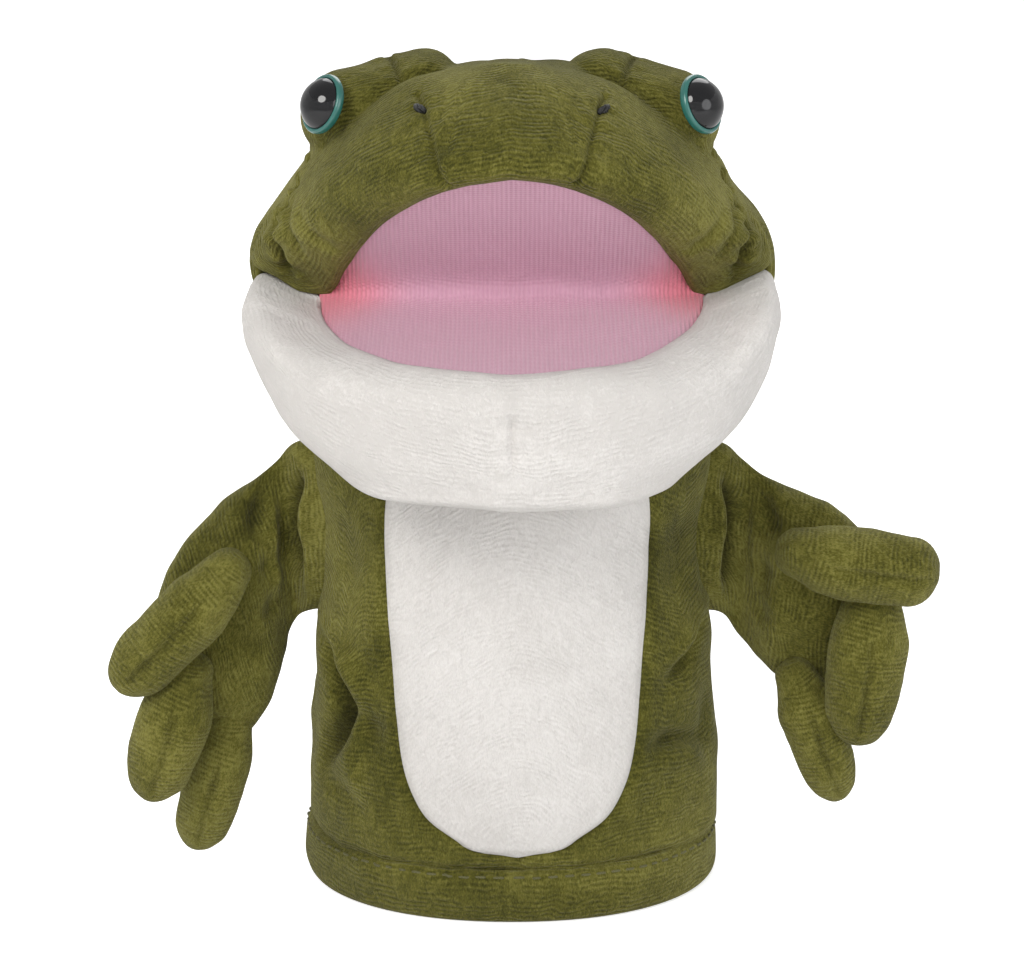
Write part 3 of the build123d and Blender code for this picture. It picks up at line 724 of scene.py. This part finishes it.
def knit(name, colour, fold_shade):
    """Fine ribbed knit: chains of small stitches from fold to lip, with painted shade between the ribs and a
    redder painted shade along the fold and in the corners of the mouth.
    """
    material, nodes, links, bsdf = new_material(name)
    place = nodes.new("ShaderNodeTexCoord")
    split = nodes.new("ShaderNodeSeparateXYZ")
    links.new(place.outputs["Object"], split.inputs["Vector"])

    def calc(operation, a, b=0.0):
        return maths(nodes, links, operation, a, b)

    run = attribute(nodes, "run")
    wobble = nodes.new("ShaderNodeTexNoise")
    wobble.inputs["Scale"].default_value = 60
    links.new(place.outputs["Object"], wobble.inputs["Vector"])
    shift = calc("MULTIPLY", wobble.outputs["Fac"], 0.9)
    across_ribs = calc("MULTIPLY", split.outputs["X"], 2 * math.pi / (RIB_PITCH * MM))
    ribs = calc("SINE", calc("ADD", across_ribs, shift))
    along_ribs = calc("MULTIPLY", run, 2 * math.pi / STITCH_PITCH)
    beads = calc("SINE", calc("ADD", along_ribs, calc("MULTIPLY", ribs, 0.9)))
    height = calc("ADD", ribs, calc("MULTIPLY", beads, 0.45))
    # Painted shade: a redder, darker colour mixed in along the fold of the mouth and towards its corners.
    base = mixed(nodes, links, attribute(nodes, "fold_shade"), colour, fold_shade)
    # Painted shade: the colour is darkened between the ribs and beads, where the knit sinks.
    depth = calc("SUBTRACT", 1.0, calc("MULTIPLY", calc("ADD", height, 1.2), 0.45))
    shade = mixed(nodes, links, calc("MULTIPLY", depth, 0.20), base, (0.62, 0.42, 0.55), "MULTIPLY")
    links.new(shade, bsdf.inputs["Base Color"])
    bsdf.inputs["Roughness"].default_value = 0.85
    bsdf.inputs["Specular IOR Level"].default_value = 0.2
    bsdf.inputs["Sheen Weight"].default_value = 0.25
    bumped(nodes, links, bsdf, height, 0.5, 0.0005)
    return material


PINK = knit("pink_knit", (0.60, 0.345, 0.44), (0.78, 0.23, 0.29))


mouth_points = mouth_grid(lip_line(head_points, head_normals), lip_line(jaw_points, jaw_normals))
puff = 0.9 * fractal(mouth_points, 24.0, 81)
mouth_points[..., 2] += puff * ramp(1 - np.abs(np.linspace(-1, 1, mouth_points.shape[0]))[:, None], 0, 0.25)
MIDDLE_SLOPE = (UPPER_SLOPE - LOWER_SLOPE) / 2
DOWN = np.array([0, -math.sin(MIDDLE_SLOPE), -math.cos(MIDDLE_SLOPE)])
half_rows = mouth_points.shape[0] // 2
for name, part, node in (
    ("palate_knit", mouth_points[: half_rows + 1], "palate_lining"),
    ("tongue_knit", mouth_points[half_rows:], "tongue_lining"),
):
    lining = grid_mesh(name, part)
    run = np.hypot(part[..., 1] - HINGE[1], part[..., 2] - HINGE[2])
    corner = ramp(np.abs(part[..., 0]), 20, 50)
    # Painted shade, strongest along the fold of the mouth and towards its corners.
    paint(lining, "fold_shade", np.clip(np.exp(-((run / (8 + 10 * corner)) ** 2)) * (0.05 + 0.95 * corner), 0, 1))
    paint(lining, "run", run)
    hinge_place = np.array([0, HINGE[1], HINGE[2]])
    ends = (hinge_place - DOWN * 5) * MM, (hinge_place + DOWN * 5) * MM
    fit(lining, PINK, [node])

# ------------------------------------------------------------------ sleeve
HEM_TOP = HEM_HIGH[2] - 0.5
HEM_HALF = (HEM_HIGH[0] - HEM_LOW[0]) / 2
# height, half width, reach in front, reach behind
SLEEVE = [
    (0, HEM_HALF - 1.2, 46, 46),
    (16, HEM_HALF - 0.8, 46.5, 46.5),
    (30, HEM_HALF - 0.6, 46.2, 46.2),
    (62, 56.6, 43.5, 44),
    (90, 54.2, 41, 42),
    (112, 55.6, 38, 40),
    (124, 57.0, 35.5, 38),
    (132, 56.0, 33, 36),
    (139, 53, 30, 35),
    (150, 50, 25, 35),
    (162, 49, 18, 36),
    (174, 47, 12, 36),
]
SLEEVE_COLUMNS = columns(SLEEVE)


def sleeve_point(turn, z, power=0.94):
    """Point of the plain sleeve; turn 0 is ahead and grows towards +X."""
    width, ahead, behind = (c(z) for c in SLEEVE_COLUMNS)
    s, c = np.sin(turn), np.cos(turn)
    depth = np.where(c > 0, ahead, behind)
    x = width * np.sign(s) * np.abs(s) ** power
    y = -depth * np.sign(c) * np.abs(c) ** power
    return np.stack([x, y, z + 0 * turn], -1)


def at_front(x, z):
    width, ahead, _ = (float(c(z)) for c in SLEEVE_COLUMNS)
    return (x, -ahead * math.sqrt(max(0.0, 1 - (x / width) ** 2)), z)


def at_back(x, z):
    width, _, behind = (float(c(z)) for c in SLEEVE_COLUMNS)
    return (x, behind * math.sqrt(max(0.0, 1 - (x / width) ** 2)), z)


BELLY_CENTRE, BELLY_BOTTOM, BELLY_TOP = 1.5, 20.5, 158.0


def belly_half_width(z):
    at = [20.5, 21.3, 23.5, 28, 34, 42, 54, 70, 88, 106, 122, 140, 158]
    half = [0, 8, 15.5, 22.8, 28.2, 31.6, 33.6, 35, 36.2, 37.2, 36.4, 34, 31]
    return spline(at, half)(z)


FRONT_FOLDS = [
    ([(-54, 80), (-50, 70), (-47.5, 60), (-49, 50), (-53, 40), (-54, 30)], 4.2, 9.0),
    ([(-48, 78), (-43, 66), (-43, 54), (-46, 42)], 4.0, -3.0),
    ([(-54, 84), (-46, 70), (-37, 62)], 3.6, -2.6),
    ([(-50, 60), (-42, 56), (-36, 46)], 4.0, 2.4),
    ([(-55, 36), (-47, 33), (-38, 27)], 4.0, 1.8),
    ([(-48, 48), (-44, 40), (-45, 31)], 3.5, -1.6),
    ([(54, 84), (48, 70), (38, 63)], 3.0, 4.6),
    ([(55, 88), (50, 76), (40, 69)], 3.6, -2.2),
    ([(36, 47), (44, 49), (55, 45)], 2.8, 4.0),
    ([(37, 41), (45, 43), (55, 38)], 4.0, -1.6),
    ([(52, 64), (54, 52), (53, 36)], 5.0, 2.6),
    ([(-50, 118), (-46, 100), (-42, 86)], 6.0, 1.6),
    ([(50, 118), (47, 100), (43, 86)], 6.0, 1.6),
    ([(-12, 112), (0, 108), (14, 112)], 6.0, 0.9),
    ([(8, 50), (14, 40), (22, 36)], 7.0, 0.9),
]
BACK_FOLDS = [
    ([(-50, 84), (-36, 76), (-18, 74)], 6.0, 2.0),
    ([(50, 84), (38, 72), (22, 66)], 6.0, 2.2),
    ([(-44, 40), (-20, 34), (10, 36)], 6.0, 1.8),
    ([(30, 44), (10, 30), (-14, 24)], 5.0, 1.6),
    ([(4, 118), (2, 96), (6, 70)], 8.0, 1.4),
    ([(-30, 124), (-34, 106), (-30, 88)], 6.0, 1.3),
    ([(34, 122), (36, 104), (32, 90)], 6.0, 1.3),
]


def sleeve_relief(p):
    d = np.zeros(p.shape[:-1])
    for path, width, depth in FRONT_FOLDS:
        d += fold(p, [at_front(x, z) for x, z in path], width, depth, fade=0.4)
    for path, width, depth in BACK_FOLDS:
        d += fold(p, [at_back(x, z) for x, z in path], width, depth, fade=0.45)
    calm = 1 - 0.5 * ramp(40 - np.abs(p[..., 0]), 0, 14) * ramp(-p[..., 1], 10, 20)
    d += (1.9 * fractal(p, 30.0, 41) + 0.35 * noise(p, 8.0, 45)) * calm * ramp(145 - p[..., 2], 0, 20)
    edge = np.abs(np.abs(p[..., 0] - BELLY_CENTRE) - belly_half_width(p[..., 2]))
    on_front = ramp(-p[..., 1], 8, 16) * ramp(p[..., 2], 16, 20)
    d -= 1.2 * np.exp(-((edge / 1.8) ** 2)) * on_front
    d -= 1.3 * np.exp(-(((p[..., 2] - HEM_TOP) / 1.6) ** 2))
    side = np.exp(-((p[..., 1] / 1.3) ** 2)) * ramp(np.abs(p[..., 0]), 30, 45)
    return d - 1.0 * side


turns = np.linspace(-math.pi, math.pi, 560, endpoint=False)[None, :]
heights = np.linspace(HEM_TOP - 0.5, SLEEVE[-1][0], 240)[:, None]
sleeve_points = sleeve_point(turns + 0 * heights, heights + 0 * turns)
normals = grid_normals(sleeve_points, True, np.array([0, 0, 75.0]))
relief = sleeve_relief(sleeve_points)
sleeve_points = sleeve_points + normals * relief[..., None]
sleeve = grid_mesh("sleeve_skin", sleeve_points, closed=True)
paint_crease_shade(sleeve, relief, 4.0)
# Painted sheen of the lit nap: the sleeve lighter towards the back, darker at the front.
paint_sheen_and_tone(sleeve, sleeve_points, 0.12 * ramp(sleeve_points[..., 1], -20, 20) - 0.04, 92)
thicken(sleeve, PLUSH_THICKNESS)
fit(sleeve, OLIVE, ["sleeve_back", "sleeve_front", "neck_lining"])

rows = np.linspace(0, 1, 150)[:, None]
across = np.linspace(-1, 1, 200)[None, :]
belly_z = BELLY_BOTTOM + (BELLY_TOP - BELLY_BOTTOM) * (rows**1.5 * 0.35 + rows * 0.65) + 0 * across
belly_x = BELLY_CENTRE + belly_half_width(belly_z) * across
width, ahead, _ = (c(belly_z) for c in SLEEVE_COLUMNS)
belly_turn = np.arcsin(np.clip(belly_x / width, -1, 1))
belly = np.stack([belly_x, -ahead * np.cos(belly_turn), belly_z], -1)
normals = grid_normals(belly, False)
normals *= -np.sign(normals[75, 100, 1])
rise = 1.3 * (1 - np.abs(across) ** 10) * ramp(rows, 0, 0.03) - 0.5
belly = belly + normals * (sleeve_relief(belly) * 0.75 + rise + 0.5)[..., None]
belly_piece = grid_mesh("belly_patch", belly)
thicken(belly_piece, PLUSH_THICKNESS * 0.6, 0.0)
fit(belly_piece, WHITE, ["belly_panel"])

# distance outside the sleeve, and height, round the cross-section of the hem
HEM_SECTION = [(-3.2, 15.2), (-3.4, 10), (-3.4, 3.5), (-2.6, 1.0), (-0.9, 0.1), (0.7, 0.9)]
HEM_SECTION += [(1.5, 3.4), (1.6, 8), (1.3, 12.5), (0.2, 15.0), (-1.6, 15.9)]
profile = np.array(HEM_SECTION)
t = np.linspace(0, 1, len(profile))
fine = np.linspace(0, 1, 70)
offsets, lifts = spline(t, profile[:, 0])(fine)[:, None], spline(t, profile[:, 1])(fine)[:, None]
hem = sleeve_point(turns + 0 * lifts, lifts + 0 * turns)
wall = sleeve_point(turns + 0 * lifts, np.linspace(2, 14, 70)[:, None] + 0 * turns)
normals = grid_normals(wall, True, np.array([0, 0, 8.0]))
wave = 0.9 * fractal(hem, 26.0, 51) * ramp(lifts, 1.5, 8) + 0.3 * noise(hem, 7.0, 52) * ramp(lifts, 1.0, 4)
hem = hem + normals * (offsets + wave)[..., None]
hem[..., 2] = np.maximum(hem[..., 2], 0.05)
hem_piece = grid_mesh("hem_roll", hem, closed=True, flip=False)
fit(hem_piece, OLIVE, ["hem_band"], rides="sleeve")

# ------------------------------------------------------------------ arms, hands and fingers
# upper edge, lower edge (outward, height) and half thickness of each rib; the fourth is the fold of the hand
LIMBS = {
    "left": [
        ((50, 129), (50, 79), 12),
        ((57, 128.5), (56.5, 77.5), 9.5),
        ((62.5, 126), (61, 76), 7.2),
        ((68, 120.5), (66, 71), 1.9),
        ((76, 116), (72, 63.5), 8.6),
        ((85, 112), (78, 57.5), 9.6),
        ((93, 108), (85, 55.5), 9.8),
        ((100, 102), (92, 57.5), 8.8),
        ((105, 93), (98, 63), 6.5),
        ((106.5, 84), (102, 70), 3.0),
    ],
    "right": [
        ((50, 129), (50, 79), 12),
        ((57, 128.5), (56.5, 77.5), 9.5),
        ((62, 127), (60, 76.5), 7.2),
        ((67, 123), (63, 73.5), 1.9),
        ((76, 116), (66, 65), 8.6),
        ((86, 107.5), (69.5, 54), 9.6),
        ((95, 96), (74, 45), 9.8),
        ((101, 84), (80, 39.5), 8.8),
        ((102, 71), (86.5, 41), 6.5),
        ((99, 61), (91, 46), 3.0),
    ],
}
FOLD_RIB = 3


def limb_points(side, ribs, start, end, rows, cols=150):
    """Flattened tube through the ribs, from rib number start to rib number end."""
    t = np.linspace(start, end, rows)[:, None]
    numbers = np.arange(len(ribs))
    table = np.array([[*u, *w, h] for u, w, h in ribs], float)
    ux, uz, lx, lz, half = (spline(numbers, table[:, k])(t) for k in range(5))
    if end == len(ribs) - 1:
        close = np.sqrt(np.clip(1 - ((t - (end - 1.0)) / 1.0).clip(0) ** 2.2, 0, 1))
        ux, lx = (ux + lx) / 2 + (ux - lx) / 2 * close, (ux + lx) / 2 - (ux - lx) / 2 * close
        uz, lz = (uz + lz) / 2 + (uz - lz) / 2 * close, (uz + lz) / 2 - (uz - lz) / 2 * close
        half = half * close + 0.02
    a = np.linspace(0, 2 * math.pi, cols, endpoint=False)[None, :]
    c, s = np.cos(a), np.sin(a)
    c, s = np.sign(c) * np.abs(c) ** 0.9, np.sign(s) * np.abs(s) ** 0.85
    x = (ux + lx) / 2 + (ux - lx) / 2 * c
    z = (uz + lz) / 2 + (uz - lz) / 2 * c
    return np.stack([side * x, -half * s - 1.5 * ramp(t, 2, 5), z], -1)


def limb_relief(p, side):
    """Bunching at the fold and dents in the palm."""
    q = p * np.array([side, 1, 1])
    d = np.zeros(p.shape[:-1])
    marks = [
        ([(60, -7, 127), (62.5, -6, 108), (63, -6, 92), (63, -5, 78)], 2.6, 4.2),
        ([(65.5, -5, 124), (68, -5, 108), (67.5, -6, 90), (66, -6, 76)], 2.2, -2.4),
        ([(66, -6, 118), (73, -7, 108), (76, -8, 98)], 3.2, 1.8),
        ([(64, -6, 100), (71, -7, 92), (78, -8, 90)], 3.0, 1.6),
        ([(64, -6, 88), (70, -8, 80), (76, -9, 78)], 2.8, 1.5),
        ([(57, -9, 118), (60, -8, 110), (60, -8, 98)], 2.4, -1.6),
        ([(60, 7, 125), (63, 6, 104), (63, 6, 80)], 3.0, 3.0),
        ([(66, 6, 112), (74, 7, 104), (82, 8, 100)], 3.4, 1.8),
        ([(65, 6, 92), (73, 7, 84), (80, 8, 78)], 3.4, 1.6),
    ]
    for path, width, depth in marks:
        d += fold(q, path, width, depth, fade=0.4)
    return 1.25 * d + 1.1 * fractal(p, 20.0, 61) + 0.25 * noise(p, 6.0, 65)


def finish_skin(name, p, relief, centre, **kw):
    normals = grid_normals(p, True)
    facing = ((p - centre) * normals).sum(-1).mean()
    p = p + normals * (np.sign(facing) * relief)[..., None]
    o = grid_mesh(name, p, closed=True, flip=facing < 0, **kw)
    paint_crease_shade(o, relief, 2.5)
    # Painted sheen of the lit nap: arms, hands and fingers a little lighter than the rest.
    paint_sheen_and_tone(o, p, 0.24, 93)
    return o


# way from the root to the tip, half width near the root, half width near the tip, length of the rounded end
FINGER_LOOKS = {
    "left": [
        ((33.5, -3.5, -4.5), 10.6, 10.0, 9.0),
        ((-4, -5.5, -35), 11.4, 9.0, 12.0),
        ((11, -1.5, -31), 9.0, 7.2, 12.0),
    ],
    "right": [
        ((28, -4.0, -29.5), 10.2, 8.8, 12.0),
        ((10, -5.0, -31), 10.6, 8.4, 12.0),
        ((9, -1.0, -32), 9.6, 7.8, 12.0),
    ],
}


def finger_points(root, reach, wide, tip_wide, blunt_run, back=13.0, rows=70, cols=72):
    """Stuffed finger: a flattened, blunt sausage that starts inside the palm."""
    reach = np.array(reach, float)
    length = np.linalg.norm(reach)
    aim = reach / length
    through = np.array([0, -1.0, 0]) - aim * (-aim[1])
    through /= np.linalg.norm(through)
    beside = np.cross(aim, through)
    total = length + back
    t = np.linspace(0, 1, rows)[:, None]
    t = (1 - np.cos(math.pi * t)) / 2 * 0.4 + 0.6 * t
    s = t * total
    radius = wide + (tip_wide - wide) * ramp(s, total * 0.42, total)
    radius = radius * (0.62 + 0.38 * ramp(s, 0, total * 0.42))
    blunt = np.sqrt(np.clip(1 - ((s - (total - blunt_run)) / blunt_run).clip(0) ** 2.2, 0, 1)) + 0.002
    round_start = np.sqrt(np.clip(1 - ((5.0 - s) / 5.0).clip(0) ** 2, 0, 1)) + 0.002
    radius = radius * blunt * round_start
    a = np.linspace(0, 2 * math.pi, cols, endpoint=False)[None, :]
    bend = 2.5 * np.sin(math.pi * t)
    middle = root - aim * back + aim * s[..., None] + through * bend[..., None]
    ring = beside * (radius * np.cos(a))[..., None] + through * (0.86 * radius * np.sin(a))[..., None]
    return middle + ring


def finger_front(p, share):
    """Point on the front of a finger, part of the way along it."""
    row = p[int(share * (len(p) - 1))]
    return row[len(row) // 4]


for name, side in SIDES.items():
    ribs = LIMBS[name]
    cut = [np.mean([ribs[FOLD_RIB][0][k], ribs[FOLD_RIB][1][k]]) for k in (0, 1)]
    arm_points = limb_points(side, ribs, 0, FOLD_RIB, 70)
    centre = np.array([side * 60, 0, 103])
    arm = finish_skin(f"arm_skin_{name}", arm_points, limb_relief(arm_points, side), centre)
    across = ("sleeve", f"{name}_arm", (side * 0.056, 0, 0.103), (side * 0.062, 0, 0.103))
    fit(arm, OLIVE, [f"arm_front_{name}", f"arm_back_{name}"])

    hand_points = limb_points(side, ribs, FOLD_RIB, len(ribs) - 1, 120)
    centre = np.array([side * 85, 0, 80.0])
    hand = finish_skin(f"hand_skin_{name}", hand_points, limb_relief(hand_points, side), centre, caps=(-1,))
    start = (side * cut[0] * MM, 0, cut[1] * MM)
    hand_nodes = [f"hand_{kind}_{name}" for kind in ("front", "back", "filling")]
    fit(hand, OLIVE, hand_nodes)

    for number, (reach, wide, tip_wide, blunt_run) in enumerate(FINGER_LOOKS[name], 1):
        root = joint_place(f"{name}_finger_{number}_curl")
        reach = np.array(reach, float) * np.array([side, 1, 1])
        p = finger_points(root, reach, wide, tip_wide, blunt_run)
        middle_line = [finger_front(p, k) for k in (0.30, 0.5, 0.7, 0.85, 0.96)]
        relief = fold(p, middle_line, 1.3, 1.5, fade=0.2)
        relief += 0.55 * fractal(p, 12.0, 70 + number) + 0.2 * noise(p, 4.5, 75)
        finger = finish_skin(f"finger_{number}_skin_{name}", p, relief, root + reach * 0.3, caps=(0, -1))
        aim = reach / np.linalg.norm(reach)
        ends = (root - aim * 4) * MM, (root + aim * 5) * MM
        finger_nodes = [f"finger_{number}_{name}", f"finger_filling_{number}_{name}"]
        fit(finger, OLIVE, finger_nodes)

# ------------------------------------------------------------------ eyes, nostrils and hem stitches
def tubes(name, runs, radius, sides=8):
    """One mesh of many short threads, each a smooth run of points with rounded ends."""
    verts, faces = [], []
    a = np.linspace(0, 2 * math.pi, sides, endpoint=False)
    for run in runs:
        run = np.array(run, float)
        tangent = np.gradient(run, axis=0)
        tangent /= np.linalg.norm(tangent, axis=1, keepdims=True)
        across = np.cross(tangent, np.array([0.31, 0.42, 0.85]))
        across /= np.linalg.norm(across, axis=1, keepdims=True)
        up = np.cross(tangent, across)
        t = np.linspace(-1, 1, len(run))
        size = radius * np.sqrt(np.clip(1 - np.abs(t) ** 6, 0.02, 1))
        twist = a[None, :] + 1.2 * t[:, None]
        ring = run[:, None] + size[:, None, None] * (
            across[:, None] * np.cos(twist)[..., None] + up[:, None] * np.sin(twist)[..., None]
        )
        base = len(verts)
        verts += (ring.reshape(-1, 3) * MM).tolist()
        for i in range(len(run) - 1):
            for k in range(sides):
                k2 = (k + 1) % sides
                low, high = base + i * sides, base + (i + 1) * sides
                faces.append([low + k, low + k2, high + k2, high + k])
        faces.append([base + k for k in range(sides)][::-1])
        faces.append([base + (len(run) - 1) * sides + k for k in range(sides)])
    mesh = bpy.data.meshes.new(name)
    mesh.from_pydata(verts, [], faces)
    mesh.polygons.foreach_set("use_smooth", [True] * len(faces))
    mesh.update()
    o = bpy.data.objects.new(name, mesh)
    bpy.context.scene.collection.objects.link(o)
    return o


def thread(name, colour, rough=0.6):
    """Twisted sewing thread: fine bands along it, with painted shade in the grooves of the twist."""
    material, nodes, links, bsdf = new_material(name)
    place = nodes.new("ShaderNodeTexCoord")
    wave = nodes.new("ShaderNodeTexWave")
    wave.bands_direction = "DIAGONAL"
    wave.inputs["Scale"].default_value = 900
    wave.inputs["Distortion"].default_value = 1.0
    links.new(place.outputs["Object"], wave.inputs["Vector"])
    # Painted shade: darker where the bump sinks, in the grooves of the twist.
    mix = mixed(nodes, links, wave.outputs["Fac"], [c * 0.6 for c in colour], colour)
    links.new(mix, bsdf.inputs["Base Color"])
    bsdf.inputs["Roughness"].default_value = rough
    bumped(nodes, links, bsdf, wave.outputs["Fac"], 0.5, 0.0002)
    return material


def moulded(name, colour, rough, coat, ripple):
    """Moulded plastic: nearly even, with faint cloudiness and the slightest ripple in its gloss."""
    material, nodes, links, bsdf = new_material(name)
    place = nodes.new("ShaderNodeTexCoord")
    cloud = nodes.new("ShaderNodeTexNoise")
    cloud.inputs["Scale"].default_value = 260
    cloud.inputs["Detail"].default_value = 2
    links.new(place.outputs["Object"], cloud.inputs["Vector"])
    light = [min(1, c * 1.2) for c in colour]
    mix = mixed(nodes, links, cloud.outputs["Fac"], [c * 0.75 for c in colour], light)
    links.new(mix, bsdf.inputs["Base Color"])
    bsdf.inputs["Roughness"].default_value = rough
    bsdf.inputs["Coat Weight"].default_value = coat
    bsdf.inputs["Coat Roughness"].default_value = 0.03
    bumped(nodes, links, bsdf, cloud.outputs["Fac"], ripple, 0.0003)
    return material


GREEN_THREAD = thread("green_thread", (0.13, 0.125, 0.045))
BLACK_THREAD = thread("black_thread", (0.012, 0.012, 0.012), 0.45)
EYE_BLACK = moulded("eye_black", (0.003, 0.003, 0.004), 0.07, 0.0, 0.02)
EYE_TEAL = moulded("eye_teal", (0.022, 0.13, 0.11), 0.25, 0.3, 0.25)
EYE_AIM = (0.76, -0.55, 0.36)
# distance from the eye's axis and height above the rim's middle
DOME = [(0.01, 5.6), (1.8, 5.4), (3.6, 4.75), (5.2, 3.6), (6.5, 2.1)]
DOME += [(7.15, 0.6), (7.2, -0.8), (5.8, -2.4), (0.01, -2.6)]
RIM = [(6.9, 0.2), (7.1, 0.8), (7.6, 1.0), (8.05, 0.7), (8.25, 0.0)]
RIM += [(8.1, -0.9), (7.4, -1.5), (6.9, -1.3), (6.8, -0.5), (6.9, 0.2)]


def turned(name, profile, place, aim, rows=60, cols=96):
    """Form turned about an axis through place."""
    aim = np.array(aim, float) / np.linalg.norm(aim)
    across = np.cross(aim, [0, 0, 1.0])
    across /= np.linalg.norm(across)
    up = np.cross(across, aim)
    line = smooth_path([(d, h, 0) for d, h in profile], rows)
    a = np.linspace(0, 2 * math.pi, cols, endpoint=False)[None, :]
    d, h = line[:, 0][:, None], line[:, 1][:, None]
    ring = across * np.cos(a)[..., None] + up * np.sin(a)[..., None]
    p = place + d[..., None] * ring + h[..., None] * aim
    return grid_mesh(name, p, closed=True)


def on_skin(points, normals, target, lift):
    """Point of a skin nearest to a place, raised off it."""
    k = np.argmin(((points - target) ** 2).sum(-1))
    return points.reshape(-1, 3)[k] + normals.reshape(-1, 3)[k] * lift


for name, side in SIDES.items():
    low, high = box_mm(f"eye_rim_{name}")
    place, aim = (low + high) / 2, np.array(EYE_AIM) * (side, 1, 1)
    for kind, profile, material in (("dome", DOME, EYE_BLACK), ("rim", RIM, EYE_TEAL)):
        o = turned(f"eye_{kind}_moulded_{name}", profile, place, aim)
        fit(o, material, [f"eye_{kind}_{name}"], rides="head")
    low, high = box_mm(f"nostril_stitch_{name}")
    place = (low + high) / 2
    runs = []
    for offset in (-0.95, 0.0, 0.95):
        slant = ((1.0, 2.1), (0.3, 0.7), (-0.3, -0.7), (-1.0, -2.0))
        ends = [place + (side * (x + offset), 0, z) for x, z in slant]
        lifts = (-0.3, 0.8, 0.8, -0.3)
        runs.append(smooth_path([on_skin(head_points, head_normals, q, k) for q, k in zip(ends, lifts)], 10))
    stitch = tubes(f"nostril_thread_{name}", runs, 0.6)
    fit(stitch, BLACK_THREAD, [f"nostril_stitch_{name}"], rides="head")

STITCH_COUNT, STITCH_SHARE, STITCH_HEIGHT = 82, 0.62, 14.2
hem_normals = grid_normals(hem, True, np.array([0, 0, 8.0]))
runs = []
for k in range(STITCH_COUNT):
    start = 2 * math.pi * k / STITCH_COUNT
    turn = start + np.linspace(0, 1, 7) * STITCH_SHARE * 2 * math.pi / STITCH_COUNT
    target = sleeve_point(turn, np.full(7, STITCH_HEIGHT)) * (1.02, 1.02, 1)
    lift = 0.5 * np.sin(np.linspace(0.1, math.pi - 0.1, 7)) - 0.25
    runs.append(smooth_path([on_skin(hem, hem_normals, q, h) for q, h in zip(target, lift)], 9))
stitches = tubes("hem_thread", runs, 0.36, 6)
fit(stitches, GREEN_THREAD, ["hem_stitching"], rides="sleeve")

# ------------------------------------------------------------------ stage
FLOOR_RADIUS, CURVE_RADIUS, WALL = 2.2, 1.2, 1.9


def backdrop():
    """Round floor that curves up into a low wall, so that no edge shows from any side."""
    line = [(0.02, 0.0), (0.5, 0.0), (1.2, 0.0), (FLOOR_RADIUS, 0.0)]
    line += [
        (FLOOR_RADIUS + CURVE_RADIUS * math.sin(a), CURVE_RADIUS * (1 - math.cos(a)))
        for a in np.linspace(0.1, math.pi / 2, 16)
    ]
    line.append((FLOOR_RADIUS + CURVE_RADIUS, WALL))
    turn = np.linspace(0, 2 * math.pi, 96, endpoint=False)
    p = np.array([[(d * math.cos(a), d * math.sin(a), h) for a in turn] for d, h in line]) / MM
    return grid_mesh("backdrop", p, closed=True, caps=(0,))


floor = backdrop()
pale, nodes, links, bsdf = new_material("pale_floor")
grain = nodes.new("ShaderNodeTexNoise")
grain.inputs["Scale"].default_value = 40
tone = nodes.new("ShaderNodeMapRange")
tone.inputs["To Min"].default_value, tone.inputs["To Max"].default_value = 0.90, 0.93
links.new(grain.outputs["Fac"], tone.inputs["Value"])
links.new(tone.outputs["Result"], bsdf.inputs["Base Color"])
bsdf.inputs["Roughness"].default_value = 0.9
bsdf.inputs["Specular IOR Level"].default_value = 0.1
bsdf.inputs["Emission Color"].default_value = (1, 1, 1, 1)
path = nodes.new("ShaderNodeLightPath")
glow = nodes.new("ShaderNodeMath")
glow.operation = "MULTIPLY_ADD"
links.new(path.outputs["Is Camera Ray"], glow.inputs[0])
glow.inputs[1].default_value = 0.45
glow.inputs[2].default_value = 0.15
links.new(glow.outputs[0], bsdf.inputs["Emission Strength"])
wear(floor, pale)

world = bpy.data.worlds.new("studio")
world.use_nodes = True
world.node_tree.nodes["Background"].inputs["Color"].default_value = (1.0, 1.0, 1.0, 1)
world.node_tree.nodes["Background"].inputs["Strength"].default_value = 0.55
bpy.context.scene.world = world


def softbox(name, place, target, size, power, colour=(1, 1, 1)):
    light = bpy.data.lights.new(name, "AREA")
    light.shape, light.size, light.energy, light.color = "DISK", size, power, colour
    o = bpy.data.objects.new(name, light)
    o.location = place
    d = [t - q for t, q in zip(target, place)]
    o.rotation_mode = "QUATERNION"
    o.rotation_quaternion = Vector(d).to_track_quat("-Z", "Y")
    bpy.context.scene.collection.objects.link(o)
    return o


softbox("key", (-0.55, -0.9, 0.95), (0, 0, 0.12), 0.6, 9.6, (1.0, 0.985, 0.96))
softbox("fill", (0.8, -0.8, 0.45), (0, 0, 0.12), 0.8, 3.8, (0.97, 0.98, 1.0))
softbox("rim", (0.1, 0.8, 0.9), (0, 0, 0.12), 0.8, 4.0)

DISTANCE, ELEVATION, AIM_HEIGHT, ENLARGEMENT = 0.9, math.radians(16), 0.115, 1.4
IMAGE_WIDTH, SENSOR = 1024, 36.0
bpy.context.scene.view_settings.view_transform = "Standard"
camera = bpy.data.objects.new("camera", bpy.data.cameras.new("camera"))
camera.data.sensor_width = SENSOR
camera.data.lens = SENSOR * 2.5 * ENLARGEMENT * DISTANCE / MM / IMAGE_WIDTH
bpy.context.scene.collection.objects.link(camera)
camera.location = (0, -DISTANCE * math.cos(ELEVATION), AIM_HEIGHT + DISTANCE * math.sin(ELEVATION))
camera.rotation_euler = (math.pi / 2 - ELEVATION, 0, 0)
bpy.context.scene.camera = camera
